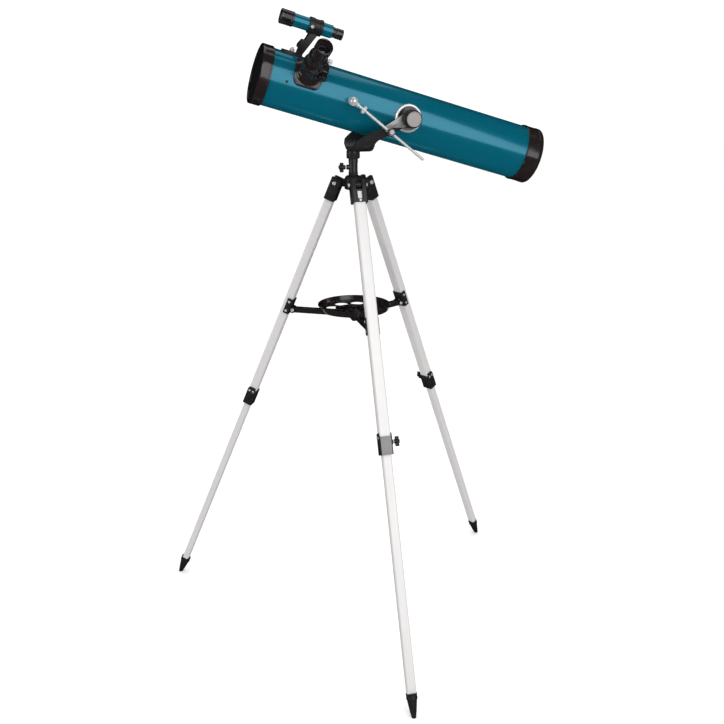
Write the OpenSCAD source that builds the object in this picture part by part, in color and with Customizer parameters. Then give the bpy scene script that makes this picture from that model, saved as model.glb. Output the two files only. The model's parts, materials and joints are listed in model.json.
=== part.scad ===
// Newtonian reflector telescope on a folding three-legged stand.
// Millimetres, +Z up, floor at z = 0, origin at the middle of the stand's footprint.
// The tube points towards -X. Leg 1 stands towards -Y.

/* [Tripod] */
// Height of the leg hinge pins above the floor
hinge_h = 1050; // [840:10:1260]
// Distance of the leg hinge pins from the column axis
hinge_r = 38.5; // [36:0.5:50]
// Angle of a spread leg from the vertical
spread = 23.3; // [18:0.1:27]
// Upper leg profile, across the leg
upper_w = 25; // [22:0.5:30]
// Upper leg profile, in the leg's own plane
upper_d = 19; // [17:0.5:24]
// Wall of both leg profiles
leg_wall = 1.4; // [1:0.1:2]
// Distance from the hinge to the lower end of the upper leg
upper_end = 560; // [480:1:690]
// Length of lower leg held inside the upper one
leg_overlap = 60; // [40:1:80]
// Length of the foot below the lower leg
foot_len = 50; // [40:1:70]
// Radius of the foot's tip
foot_tip_r = 5; // [4:0.5:7]

/* [Leg hardware] */
// Width of the hinge bracket across the leg
bracket_w = 36; // [34:1:40]
// Thickness of the hub's hinge lugs
lug_w = 14; // [10:0.5:16]
// Radius of the hinge bolts
hinge_bolt_r = 2.5; // [2:0.1:3.5]
// Wall of the extension clamp around the leg
clamp_wall = 2.2; // [1.8:0.1:3]
// Length of the extension clamp's body
clamp_len = 40; // [28:1:48]
// Radius of the clamp knob's screw
clamp_screw_r = 2.5; // [2:0.1:3]

/* [Spreader and tray] */
// Distance down the leg from its hinge to the spreader pin
spreader_at = 320; // [300:1:360]
// Distance of the spreader pin from the inner face of the leg
spreader_off = 8; // [8:0.5:12]
// Distance of the plate's arm slots from the column axis
plate_pin_r = 40; // [34:1:46]
// Width of a spreader arm
arm_w = 12; // [9:0.5:14]
// Height of a spreader arm
arm_t = 13; // [7:0.5:14]
// Outer radius of the accessory tray
tray_r = 84; // [78:1:88]
// Height of the tray's rim
tray_h = 14; // [10:0.5:18]
// Wall and floor of the tray
tray_wall = 3; // [2:0.5:4]
// Number of eyepiece holes in the tray
tray_holes = 8; // [4:1:8]
// Radius of an eyepiece hole
tray_hole_r = 16.1; // [12:0.1:16.5]
// Radius of the ring that the eyepiece holes lie on
tray_ring_r = 50; // [47:0.5:54]

/* [Mount] */
// Height of the hub's top face above the hinge pins
hub_top = 16; // [12:1:22]
// Radius of the hub's turning spigot
spigot_r = 6.5; // [5:0.5:8]
// Radius of the fork's stem
stem_r = 10.5; // [9.5:0.5:14]
// Height of the fork's stem
stem_h = 52; // [45:1:70]
// Distance of the altitude axis behind the column axis
trunnion_x = 108; // [95:1:120]
// Inner radius of the fork
yoke_r = 67; // [66.5:0.5:72]
// Thickness of the fork's band
yoke_t = 5; // [4:0.5:7]
// Radius of the altitude bolts
trunnion_bolt_r = 5; // [4:0.5:6]
// Radius of the altitude knobs
alt_knob_r = 20; // [16:0.5:24]
// Length of the altitude knobs
alt_knob_len = 32; // [24:1:36]

/* [Altitude rod] */
// Radius of the rod
rod_r = 3; // [2.5:0.1:4]
// Length of the rod from the middle of its ball
rod_len = 199; // [185:1:215]
// Radius of the rod's ball
ball_r = 9.5; // [8:0.5:11]
// Slope of the rod below the horizontal
rod_slope = 38.8; // [36:0.1:41]
// Distance along the rod from its ball to the swivel block
rod_reach = 103; // [95:1:110]

/* [Optical tube] */
// Outer radius of the tube
tube_r = 60.3; // [58:0.1:61]
// Wall of the tube
tube_wall = 1.2; // [0.8:0.1:2]
// Length of tube in front of the altitude axis, with its cap
tube_front = 334; // [320:1:400]
// Length of tube behind the altitude axis, with its cap
tube_rear = 330; // [275:1:400]
// Height of the tube's front end above the horizontal, as an angle
altitude = 16.5; // [10:0.5:25]
// Wall of the two end caps
cap_wall = 3; // [2:0.1:4]
// Length of the front cap
front_cap_len = 24; // [18:1:32]
// Length of the rear cap
rear_cap_len = 38; // [30:1:46]
// Radius of the main mirror
mirror_r = 52; // [45:0.5:54]
// Thickness of the main mirror
mirror_t = 12; // [9:0.5:16]
// Distance of the main mirror's face from the tube's rear end
mirror_room = 32; // [30:1:60]
// Focal length of the main mirror
focal_len = 660; // [560:10:800]
// Radius of the diagonal mirror
diagonal_r = 12.5; // [9:0.5:15]

/* [Focuser] */
// Distance of the focuser's axis behind the front rim
focuser_back = 100; // [90:1:120]
// Turn of the focuser around the tube from its top
focuser_roll = 60; // [45:1:75]
// Outer radius of the draw tube
draw_r = 18.5; // [17.5:0.1:19.5]
// Radius of the eyepiece barrel
barrel_r = 15.87; // [15:0.01:16]
// Radius of the focuser's neck
neck_r = 22.5; // [22:0.5:25]
// Radius of the eyecup
eyecup_r = 18.2; // [16:0.1:20]
// Module of the rack and pinion
tooth_module = 0.8; // [0.8:0.1:0.9]
// Number of teeth on the pinion
pinion_teeth = 12; // [11:1:12]

/* [Finder] */
// Distance of the finder's axis from the tube's axis
finder_off = 126; // [115:1:135]
// Turn of the finder around the tube from its top
finder_roll = 10; // [0:1:20]
// Radius of the finder's tube
finder_r = 13.5; // [12:0.1:15]
// Length of the finder
finder_len = 137; // [125:1:150]
// Distance of the finder's front behind the main tube's front rim
finder_back = 19; // [10:1:25]

/* [Fits] */
// Radial clearance of turning and sliding fits
run_gap = 0.05; // [0.02:0.01:0.08]
// Gap between pieces that move past each other
move_gap = 0.3; // [0.2:0.05:0.5]
// Gap between pieces that are seated on each other
seat_gap = 0.05; // [0.02:0.01:0.1]

/* [Hidden] */
LEGS = [1, 2, 3];
$fn = 48;

// Stand
leg_len = hinge_h / cos(spread);
foot_r = hinge_r + leg_len * sin(spread);
stance_y = foot_r * (1 - sin(30)) / 2;
lower_w = upper_w - 2 * leg_wall - 1.6;
lower_d = upper_d - 2 * leg_wall - 1.6;
leg_corner = 3;
corner_steps = 3;
bracket_d = 22;
bracket_top = 11;
bracket_len = 41;
socket_at = 15;
ear_len = 8;
upper_grip = 6;
knob_stand = 6;
lock_drop = clamp_screw_r + 4.5;
hub_r = 20;
hub_bottom = 14;
hub_z = hinge_h + hub_top;

// Spreader: its pins lie on the arms' line when the legs are spread
pin_r = 2.5;
sleeve_wall = 2.5;
sleeve_low = 13;
sleeve_high = 25;
sleeve_grip = 11;
pin_off = upper_d / 2 + spreader_off;
bracket_pin_r = hinge_r + spreader_at * sin(spread) - pin_off * cos(spread);
spreader_z = hinge_h - spreader_at * cos(spread) - pin_off * sin(spread);
ear_t = 4;
ear_r = 7;
ear_y = arm_w / 2 + move_gap + ear_t / 2;
arm_len = bracket_pin_r - plate_pin_r;
slot_reach = 12;
plate_top = spreader_z + arm_t / 2 + 3.5;
plate_t = 16;
plate_hub_r = plate_pin_r - arm_t / 2 - slot_reach;
tray_z = plate_top + seat_gap;
tray_knob_r = 8.5;
tray_screw_r = 3;

// Mount
yoke_bottom = hub_z + stem_h;
arch_z = yoke_bottom + yoke_r + yoke_t;
trunnion_z = arch_z + 1.5;
arm_y = yoke_r + yoke_t;
lock_z = hub_z + 19;
stud_r = 2.5;
plate_disc_r = 30;
plate_boss_r = 16;
plate_step = 4;

// Rod: it lies outside the near arm of the fork
rod_y = -(arm_y + 8);
ball_lead = 126;
ball_x = trunnion_x - ball_lead;
ball_z = trunnion_z + ball_lead * tan(altitude);
block_x = ball_x + rod_reach * cos(rod_slope);
block_z = ball_z - rod_reach * sin(rod_slope);
block_r = 9;
nut_at = 24;
nut_len = 7;

// Optics
cap_r = tube_r + seat_gap + cap_wall;
focuser_z = tube_front - focuser_back;
mirror_front = mirror_room - tube_rear;
spider_z = focuser_z + 40;
spider_hub_r = 9;
spider_screw_r = 1.5;
cell_t = 6;
cell_z = mirror_front - mirror_t - seat_gap;
cell_screw_r = mirror_r - 12;

// Focuser, in its own frame: +X out of the tube, +Z towards the front
saddle_t = 4;
saddle_w = 64;
saddle_len = 60;
neck_top = 100;
draw_bottom = tube_r - 8;
draw_top = 128;
collar_r = 20.5;
collar_len = 15;
pitch = PI * tooth_module;
rack_w = 7;
rack_root = draw_r + 1.2;
rack_line = rack_root + tooth_module + 0.2;
rack_tip = rack_line + tooth_module;
pinion_r = tooth_module * pinion_teeth / 2;
pinion_z = rack_line + pinion_r;
pinion_x = 84;
shaft_r = 2;
housing_w = 22;
knob_w = 10;
focus_knob_r = 9;
// Finder
finder_front = tube_front - finder_back;
finder_rear = finder_front - finder_len;
finder_ring_z = finder_front - 76;
ring_len = 30;
nut_off = -1;
objective_r = finder_r + 2;
finder_eye_r = finder_r - 2.5;

function arc(c, r, a, b, n) =
    [for (i = [0:n]) c + r * [cos(a + (b - a) * i / n), sin(a + (b - a) * i / n)]];

function round_rect(w, d, r) = concat(
    arc([w / 2 - r, d / 2 - r], r, 0, 90, corner_steps),
    arc([r - w / 2, d / 2 - r], r, 90, 180, corner_steps),
    arc([r - w / 2, r - d / 2], r, 180, 270, corner_steps),
    arc([w / 2 - r, r - d / 2], r, 270, 360, corner_steps));

function lobes(r, depth, n) =
    [for (i = [0:2 * n - 1]) (i % 2 == 0 ? r : r - depth) * [cos(180 * i / n), sin(180 * i / n)]];

function leg_azimuth(k) = -90 + 120 * (k - 1);

module at_column() { translate([0, stance_y, 0]) children(); }

module at_leg(k) {
    at_column() rotate([0, 0, leg_azimuth(k)]) translate([hinge_r, 0, hinge_h])
        rotate([0, -spread, 0]) children();
}

module at_trunnion() { at_column() translate([trunnion_x, 0, trunnion_z]) children(); }

module on_tube() { at_trunnion() rotate([0, altitude - 90, 0]) children(); }

module on_focuser() { on_tube() rotate([0, 0, -focuser_roll]) translate([0, 0, focuser_z]) children(); }

module on_finder() { on_tube() rotate([0, 0, -finder_roll]) children(); }

module along_y(from, to, r) {
    translate([0, from, 0]) rotate([-90, 0, 0]) cylinder(r = r, h = to - from);
}

module along_x(from, to, r) {
    translate([from, 0, 0]) rotate([0, 90, 0]) cylinder(r = r, h = to - from);
}

module span(z0, z1, r) { translate([0, 0, z0]) cylinder(r = r, h = z1 - z0); }

module ring(z0, z1, r_in, r_out) {
    difference() {
        span(z0, z1, r_out);
        span(z0 - 1, z1 + 1, r_in);
    }
}

module bar(z0, z1, w, d, r) { translate([0, 0, z0]) linear_extrude(z1 - z0) polygon(round_rect(d, w, r)); }

// ---- Optical tube ----

module at_spider_screws() {
    for (i = [0:2]) rotate([0, 0, -90 + 120 * i]) translate([0, 0, spider_z + 1]) children();
}

module at_cell_screws() {
    for (i = [0:2]) rotate([0, 0, 120 * i]) translate([cell_screw_r, 0, 0]) children();
}

module optical_tube() {
    color([0.02, 0.36, 0.45]) on_tube() difference() {
        ring(-tube_rear + cap_wall, tube_front - cap_wall, tube_r - tube_wall, tube_r, $fn = 96);
        rotate([0, 0, -focuser_roll]) translate([0, 0, focuser_z])
            union() {
                along_x(tube_r - 20, tube_r + 20, draw_r + 1);
                translate([tube_r - 20, -rack_w / 2 - move_gap, -rack_tip - move_gap])
                    cube([40, rack_w + 2 * move_gap, rack_tip]);
            }
        at_spider_screws() along_x(tube_r - 5, tube_r + 5, spider_screw_r + seat_gap);
    }
}

module front_cap() {
    color([0.12, 0.11, 0.11]) on_tube() {
        difference() {
            span(tube_front - front_cap_len, tube_front, cap_r, $fn = 96);
            span(tube_front - front_cap_len - 1, tube_front - cap_wall + seat_gap,
                tube_r + seat_gap, $fn = 96);
            span(tube_front - cap_wall - 1, tube_front + 1, tube_r - cap_wall, $fn = 96);
        }
    }
}

module rear_cap() {
    color([0.12, 0.11, 0.11]) on_tube() difference() {
        span(-tube_rear, -tube_rear + rear_cap_len, cap_r, $fn = 96);
        span(-tube_rear + cap_wall - seat_gap, -tube_rear + rear_cap_len + 1, tube_r + seat_gap, $fn = 96);
        at_cell_screws() span(-tube_rear - 1, -tube_rear + cap_wall + 1, stud_r + run_gap);
    }
}

module mirror_cell() {
    color([0.1, 0.1, 0.1]) on_tube() {
        difference() {
            span(cell_z - cell_t, cell_z, tube_r - tube_wall - 1);
            at_cell_screws() span(cell_z - cell_t - 1, cell_z + 1, stud_r + run_gap);
        }
        for (i = [0:2]) rotate([0, 0, 60 + 120 * i])
            translate([mirror_r + 0.5, -5, cell_z - 1]) cube([4, 10, mirror_t + 3]);
    }
}

module primary_mirror() {
    curve_r = 2 * focal_len;
    color([0.85, 0.88, 0.9]) on_tube() difference() {
        span(mirror_front - mirror_t, mirror_front, mirror_r);
        translate([0, 0, mirror_front - 1.2 + curve_r]) sphere(r = curve_r, $fn = 96);
    }
}

module collimation_screws() {
    color([0.75, 0.75, 0.76]) on_tube() at_cell_screws() {
        span(-tube_rear - 9, cell_z - 0.5, stud_r);
        translate([0, 0, -tube_rear - 9]) linear_extrude(8) polygon(lobes(6, 0.6, 10));
    }
}

module diagonal_half(depth) {
    rotate([0, -45, 0]) translate([-40, -40, depth]) cube([80, 80, 80]);
}

module secondary_mirror() {
    color([0.85, 0.88, 0.9]) on_focuser() difference() {
        intersection() {
            span(-diagonal_r - 3, diagonal_r + 9, diagonal_r);
            diagonal_half(0);
        }
        diagonal_half(5);
    }
}

module secondary_holder() {
    color([0.1, 0.1, 0.1]) on_focuser() {
        intersection() {
            span(-diagonal_r, spider_z - focuser_z - 8.2, diagonal_r);
            diagonal_half(5 + seat_gap);
        }
        span(spider_z - focuser_z - 9, spider_z - focuser_z - 6.05, 4);
    }
}

module spider() {
    vane_out = tube_r - tube_wall - seat_gap;
    color([0.1, 0.1, 0.1]) on_tube() difference() {
        union() {
            span(spider_z - 6, spider_z + 8, spider_hub_r);
            for (i = [0:2]) rotate([0, 0, -90 + 120 * i])
                translate([0, -0.8, spider_z - 5]) cube([vane_out - 1.5, 1.6, 12]);
            for (i = [0:2]) rotate([0, 0, -90 + 120 * i])
                translate([vane_out - 8.5, -4, spider_z - 5]) cube([8, 8, 12]);
        }
        at_spider_screws() along_x(vane_out - 6, vane_out + 2, spider_screw_r + seat_gap);
    }
}

module tube_screws() {
    color([0.6, 0.6, 0.62]) on_tube() at_spider_screws() {
        along_x(tube_r - 5, tube_r + 0.5, spider_screw_r);
        along_x(tube_r + seat_gap, tube_r + 2, 2.8);
    }
}

// ---- Focuser ----

module focuser_base() {
    color([0.1, 0.1, 0.1]) on_focuser() difference() {
        union() {
            intersection() {
                translate([0, 0, -saddle_len / 2]) cylinder(r = tube_r + saddle_t, h = saddle_len, $fn = 96);
                translate([30, 0, 0]) rotate([0, 90, 0]) linear_extrude(60)
                    polygon(round_rect(saddle_len, saddle_w, 12));
            }
            along_x(tube_r - 4, neck_top, neck_r);
            translate([pinion_x - 12, -housing_w / 2, -pinion_z - 8]) cube([24, housing_w, pinion_z - 8]);
        }
        translate([0, 0, -saddle_len]) cylinder(r = tube_r + seat_gap, h = 2 * saddle_len, $fn = 96);
        along_x(30, neck_top + 1, draw_r + run_gap);
        translate([50, -rack_w / 2 - move_gap, -rack_tip - move_gap])
            cube([neck_top, rack_w + 2 * move_gap, rack_tip]);
        translate([pinion_x, 0, -pinion_z]) {
            along_y(-housing_w, housing_w, shaft_r + run_gap);
            along_y(-rack_w / 2 - 1, rack_w / 2 + 1, pinion_r + tooth_module + 0.5);
            for (side = [0, 1]) mirror([0, side, 0])
                along_y(housing_w / 2 + 1, housing_w / 2 + 3 + knob_w, focus_knob_r + 1);
        }
    }
}

module rack_teeth() {
    for (i = [-6:9]) translate([pinion_x + (i + 0.5) * pitch, 0, 0])
        rotate([90, 0, 0]) translate([0, 0, -rack_w / 2]) linear_extrude(rack_w)
            polygon([[-0.75, 0.2 - rack_root], [0.75, 0.2 - rack_root], [0.2, -rack_tip], [-0.2, -rack_tip]]);
}

module drawtube() {
    color([0.14, 0.14, 0.14]) on_focuser() {
        difference() {
            union() {
                along_x(draw_bottom, draw_top, draw_r);
                along_x(draw_top - collar_len, draw_top, collar_r);
                translate([tube_r + 4.5, -rack_w / 2, -rack_root])
                    cube([draw_top - collar_len - tube_r - 4.5, rack_w, rack_root - draw_r + 1]);
                intersection() {
                    rack_teeth();
                    translate([tube_r + 4.5, -20, -40]) cube([draw_top - collar_len - tube_r - 4.6, 40, 40]);
                }
            }
            along_x(draw_bottom - 1, draw_top + 1, barrel_r + run_gap);
            translate([draw_top - collar_len / 2, 0, 0]) rotate([180, 0, 0])
                span(5, 40, clamp_screw_r + run_gap);
        }
    }
}

module pinion_teeth_profile() {
    polygon([for (i = [0:pinion_teeth - 1])
        for (p = [[-9.5, -1.1], [-2.2, 1], [2.2, 1], [9.5, -1.1]])
            let (a = 360 * i / pinion_teeth + p[0]) (pinion_r + p[1] * tooth_module) * [cos(a), sin(a)]]);
}

module pinion_shaft() {
    color([0.75, 0.75, 0.76]) on_focuser() translate([pinion_x, 0, -pinion_z]) {
        along_y(-housing_w / 2 - knob_w, housing_w / 2 + knob_w, shaft_r);
        rotate([90, 90, 0]) translate([0, 0, -rack_w / 2]) linear_extrude(rack_w) pinion_teeth_profile();
    }
}

module focus_knobs() {
    color([0.08, 0.08, 0.08]) on_focuser() translate([pinion_x, 0, -pinion_z])
        for (side = [-1, 1]) difference() {
            translate([0, side * (housing_w / 2 + 2 + knob_w / 2), 0]) rotate([90, 0, 0])
                translate([0, 0, -knob_w / 2]) linear_extrude(knob_w) polygon(lobes(focus_knob_r, 0.8, 12));
            along_y(-housing_w / 2 - knob_w - seat_gap, housing_w / 2 + knob_w + seat_gap,
                shaft_r + seat_gap);
        }
}

module eyepiece() {
    color([0.07, 0.07, 0.07]) on_focuser() difference() {
        union() {
            along_x(draw_top - 30, draw_top + 4, barrel_r);
            along_x(draw_top + move_gap, draw_top + 22, barrel_r + 1.5);
            along_x(draw_top + 21, draw_top + 38, eyecup_r);
        }
        along_x(draw_top - 31, draw_top + 16, barrel_r - 2);
        along_x(draw_top + 15, draw_top + 28, barrel_r - 4);
        along_x(draw_top + 27.5, draw_top + 39, barrel_r - 2);
    }
}

module eyepiece_lens() {
    color([0.6, 0.75, 0.8, 0.5]) on_focuser() along_x(draw_top + 18, draw_top + 27, barrel_r - 4 - seat_gap);
}

module eyepiece_clamp_screw() {
    color([0.75, 0.75, 0.76]) on_focuser() translate([draw_top - collar_len / 2, 0, 0]) rotate([180, 0, 0]) {
        span(barrel_r + move_gap, collar_r + 8, clamp_screw_r);
        translate([0, 0, collar_r + 3]) linear_extrude(8) polygon(lobes(5, 0.5, 9));
    }
}

// ---- Finder ----

module finder_tube() {
    color([0.02, 0.4, 0.5]) on_finder() translate([finder_off, 0, 0])
        ring(finder_rear + 24, finder_front - 25, finder_r - 1.2, finder_r);
}

module finder_objective_cell() {
    color([0.07, 0.07, 0.07]) on_finder() translate([finder_off, 0, 0]) difference() {
        span(finder_front - 28, finder_front, objective_r);
        span(finder_front - 29, finder_front - 24.9, finder_r + seat_gap);
        span(finder_front - 26, finder_front + 1, finder_r - 1.5);
    }
}

module finder_lens() {
    color([0.6, 0.75, 0.8, 0.5]) on_finder() translate([finder_off, 0, 0])
        span(finder_front - 12, finder_front - 8, finder_r - 1.5 - seat_gap);
}

module finder_eyepiece() {
    color([0.07, 0.07, 0.07]) on_finder() translate([finder_off, 0, 0]) difference() {
        union() {
            span(finder_rear, finder_rear + 24 - move_gap, finder_eye_r);
            span(finder_rear + 20, finder_rear + 44, finder_r - 1.2 - run_gap);
        }
        span(finder_rear - 1, finder_rear + 45, finder_eye_r - 3);
    }
}

module finder_bracket() {
    foot_z = finder_ring_z + 34;
    color([0.07, 0.07, 0.07]) on_finder() difference() {
        union() {
            translate([finder_off, 0, finder_ring_z]) span(-ring_len / 2, ring_len / 2, finder_r + 3.5);
            intersection() {
                translate([0, 0, foot_z - 24]) cylinder(r = tube_r + saddle_t, h = 44, $fn = 96);
                translate([30, -14, foot_z - 24]) cube([60, 28, 44]);
            }
            rotate([90, 0, 0]) translate([0, 0, -8]) linear_extrude(16) polygon([
                [tube_r + 1, foot_z - 22], [tube_r + 1, foot_z - 10], [tube_r + 16, foot_z - 12],
                [tube_r + 16, foot_z - 8], [tube_r + 22, foot_z - 8],
                [tube_r + 34, foot_z - 14], [tube_r + 34, foot_z - 20],
                [finder_off - finder_r, finder_ring_z + 9], [finder_off - finder_r, finder_ring_z - 9]]);
        }
        cylinder(r = tube_r + seat_gap, h = 2 * tube_front, $fn = 96);
        translate([finder_off, 0, finder_ring_z]) span(-ring_len, ring_len, finder_r + seat_gap);
        translate([0, 0, foot_z + nut_off]) along_x(tube_r - 2, tube_r + 9, stud_r + seat_gap);
        translate([0, 0, finder_ring_z + ring_len / 2 - 6]) translate([finder_off, 0, 0])
            along_y(-finder_r - 5, -finder_r + 2, 1.5 + seat_gap);
    }
}

module finder_nuts() {
    foot_z = finder_ring_z + 34;
    color([0.75, 0.75, 0.76]) on_finder() {
        translate([0, 0, foot_z + nut_off]) {
            along_x(tube_r + seat_gap + 0.1, tube_r + saddle_t + 6, stud_r);
            translate([tube_r + saddle_t + 0.1, 0, 0]) rotate([0, 90, 0]) linear_extrude(7)
                polygon(lobes(5.5, 0.6, 9));
        }
        translate([finder_off, 0, finder_ring_z + ring_len / 2 - 6]) {
            along_y(-finder_r - 5, -finder_r - seat_gap, 1.5);
            along_y(-finder_r - 9, -finder_r - 4, 3.5);
        }
    }
}

// ---- Altitude and azimuth mount ----

module trunnion_plates() {
    color([0.8, 0.8, 0.82]) at_trunnion() for (side = [-1, 1]) mirror([0, side > 0 ? 0 : 1, 0])
        difference() {
            union() {
                along_y(tube_r - 12, tube_r + plate_step, plate_disc_r);
                along_y(tube_r + plate_step - 1, yoke_r - move_gap, plate_boss_r);
            }
            rotate([0, altitude - 90, 0]) span(-100, 100, tube_r + seat_gap, $fn = 96);
            along_y(tube_r - 13, yoke_r + 1, trunnion_bolt_r + seat_gap);
        }
}

module yoke_side() {
    polygon(concat(
        [[-10, yoke_bottom - 2], [38, yoke_bottom - 2], [36, yoke_bottom + 22], [48, yoke_bottom + 31],
         [trunnion_x - 18, trunnion_z - 22]],
        arc([trunnion_x, trunnion_z], 17, -60, 150, 12),
        [[57, trunnion_z - 13], [44, trunnion_z - 22], [14, trunnion_z - 33], [-6, trunnion_z - 48]]));
}

module yoke() {
    color([0.16, 0.16, 0.17]) at_column() difference() {
        union() {
            intersection() {
                rotate([90, 0, 90]) translate([0, 0, -30]) linear_extrude(trunnion_x + 60) polygon(concat(
                    [[arm_y, arch_z + 40]],
                    [[yoke_r, arch_z + 40]], arc([0, arch_z], yoke_r, 0, -180, 20), [[-yoke_r, arch_z + 40]],
                    [[-arm_y, arch_z + 40]], arc([0, arch_z], arm_y, -180, 0, 20)));
                rotate([90, 0, 0]) translate([0, 0, -arm_y - 5]) linear_extrude(2 * arm_y + 10) yoke_side();
            }
            span(hub_z + move_gap, yoke_bottom + 2, stem_r);
            span(yoke_bottom - 14, yoke_bottom + 2.2, stem_r + 4.5);
            translate([0, 0, lock_z]) along_x(-stem_r - 5, 0, 5.5);
        }
        translate([trunnion_x, 0, trunnion_z]) {
            along_y(-tube_r - plate_step - 0.5, tube_r + plate_step + 0.5, plate_disc_r + 1);
            along_y(-yoke_r, yoke_r, plate_boss_r + 1);
        }
        span(hub_z - 1, yoke_bottom - 8, spigot_r + run_gap);
        translate([0, 0, lock_z]) along_x(-stem_r - 6, 0, stud_r + run_gap);
        translate([trunnion_x, 0, trunnion_z]) along_y(-arm_y - 1, arm_y + 1, trunnion_bolt_r + run_gap);
        translate([block_x, 0, block_z]) along_y(-arm_y - 1, -yoke_r + 3, stud_r + run_gap);
    }
}

module altitude_knob() {
    along_y(tube_r + 1, arm_y + 6, trunnion_bolt_r);
    along_y(arm_y + 0.6, arm_y + 5, alt_knob_r - 3);
    translate([0, arm_y + 4, 0]) rotate([-90, 0, 0]) linear_extrude(alt_knob_len - 8)
        polygon(lobes(alt_knob_r, 1.2, 14));
    along_y(arm_y + alt_knob_len - 5, arm_y + alt_knob_len, alt_knob_r - 3.5);
}

module altitude_knob_near() {
    color([0.2, 0.2, 0.2]) at_trunnion() mirror([0, 1, 0]) altitude_knob();
}

module altitude_knob_far() {
    color([0.2, 0.2, 0.2]) at_trunnion() altitude_knob();
}

module azimuth_knob() {
    color([0.08, 0.08, 0.08]) at_column() translate([0, 0, lock_z]) {
        along_x(-stem_r - 12, -spigot_r - move_gap, stud_r);
        along_x(-stem_r - 22, -stem_r - 8, 5);
        for (i = [0:2]) rotate([120 * i, 0, 0]) translate([-stem_r - 21, -2.5, 0]) cube([8, 5, 12]);
    }
}

module at_ball() { at_column() translate([ball_x, rod_y, ball_z]) children(); }

module along_rod() { at_ball() rotate([0, 90 + rod_slope, 0]) children(); }

module rod() {
    color([0.85, 0.85, 0.86]) along_rod() {
        span(0, rod_len, rod_r);
        sphere(r = ball_r);
    }
}

module rod_nut() {
    color([0.85, 0.85, 0.86]) along_rod() difference() {
        translate([0, 0, nut_at]) linear_extrude(nut_len) polygon(lobes(8.5, 0.7, 12));
        span(nut_at - 1, nut_at + nut_len + 1, rod_r + run_gap);
    }
}

module at_block() { at_column() translate([block_x, 0, block_z]) children(); }

module rod_block() {
    color([0.15, 0.15, 0.15]) difference() {
        at_block() union() {
            along_y(-arm_y - 16, -arm_y - move_gap, block_r);
            along_y(-arm_y - 1, -yoke_r + 0.5, stud_r);
        }
        along_rod() span(rod_reach - 20, rod_reach + 20, rod_r + run_gap);
        at_block() along_y(-arm_y - 17, -arm_y - 8, 2 + run_gap);
    }
}

module rod_block_screw() {
    color([0.8, 0.8, 0.82]) at_block() {
        along_y(-arm_y - 20, -arm_y - 8 - rod_r - move_gap, 2);
        translate([0, -arm_y - 16.5, 0]) rotate([90, 0, 0]) linear_extrude(6) polygon(lobes(6, 0.6, 10));
    }
}

module rod_anchor() {
    color([0.12, 0.12, 0.12]) difference() {
        at_column() translate([ball_x, 0, ball_z]) along_y(rod_y + ball_r + move_gap, -tube_r + 8, 8);
        on_tube() span(0, tube_front, tube_r + seat_gap, $fn = 96);
    }
}

// ---- Stand ----

module hub() {
    color([0.1, 0.1, 0.1]) at_column() {
        span(hinge_h - hub_bottom, hub_z, hub_r);
        span(hub_z - 1, yoke_bottom - 9, spigot_r);
        for (k = LEGS) rotate([0, 0, leg_azimuth(k)]) difference() {
            union() {
                translate([10, -lug_w / 2, hinge_h - 8]) cube([hinge_r - 10, lug_w, 16]);
                translate([hinge_r, 0, hinge_h]) along_y(-lug_w / 2, lug_w / 2, 8);
            }
            translate([hinge_r, 0, hinge_h]) along_y(-lug_w, lug_w, hinge_bolt_r + seat_gap);
        }
    }
}

module hinge_bolts() {
    color([0.75, 0.75, 0.76]) for (k = LEGS) at_leg(k) {
        along_y(-bracket_w / 2 - 2, bracket_w / 2 + 2, hinge_bolt_r);
        along_y(-bracket_w / 2 - 4, -bracket_w / 2 - move_gap, 4.5);
        translate([0, bracket_w / 2 + move_gap, 0]) rotate([-90, 0, 0]) cylinder(r = 4.5, h = 4, $fn = 6);
    }
}

module leg_fittings(k) {
    color([0.1, 0.1, 0.1]) at_leg(k) {
        difference() {
            bar(-bracket_len, bracket_top, bracket_w, bracket_d + 2, 4);
            translate([-20, -lug_w / 2 - move_gap, -12]) cube([40, lug_w + 2 * move_gap, 40]);
            bar(-bracket_len - 1, -socket_at, upper_w + 2 * seat_gap, upper_d + 2 * seat_gap, leg_corner);
            along_y(-bracket_w, bracket_w, hinge_bolt_r + run_gap);
        }
        translate([0, 0, -spreader_at]) difference() {
            union() {
                intersection() {
                    bar(-sleeve_low, sleeve_high, upper_w + 2 * sleeve_wall, upper_d + 2 * sleeve_wall, 4);
                    translate([-upper_d / 2 - sleeve_wall - 1, -upper_w, -sleeve_low - 1])
                        cube([sleeve_wall + 1 + sleeve_grip, 2 * upper_w, sleeve_low + sleeve_high + 2]);
                }
                for (side = [-1, 1]) translate([-pin_off, side * ear_y, 0]) {
                    along_y(-ear_t / 2, ear_t / 2, ear_r);
                    translate([0, -ear_t / 2, -ear_r]) cube([spreader_off - 1, ear_t, 2 * ear_r]);
                }
            }
            bar(-sleeve_low - 1, sleeve_high + 1, upper_w + 2 * seat_gap, upper_d + 2 * seat_gap,
                leg_corner);
            translate([-upper_d / 2 - sleeve_wall - 1, -arm_w / 2 - move_gap, -arm_t / 2 - move_gap])
                cube([sleeve_wall + 2, arm_w + 2 * move_gap, arm_t + 2 * move_gap]);
            translate([-pin_off, 0, 0]) along_y(-arm_w, arm_w, pin_r + seat_gap);
        }
    }
    color([0.75, 0.75, 0.76]) spreader_pin(k);
}

module leg_tube(z0, z1, w, d) {
    difference() {
        bar(z0, z1, w, d, leg_corner);
        bar(z0 - 1, z1 + 1, w - 2 * leg_wall, d - 2 * leg_wall, leg_corner - leg_wall);
    }
}

module upper_leg(k) {
    color([0.8, 0.8, 0.82]) at_leg(k) leg_tube(-upper_end, -socket_at - seat_gap, upper_w, upper_d);
}

module lower_leg(k) {
    color([0.8, 0.8, 0.82]) at_leg(k)
        leg_tube(-leg_len + foot_len, -upper_end + leg_overlap, lower_w, lower_d);
}

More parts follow.
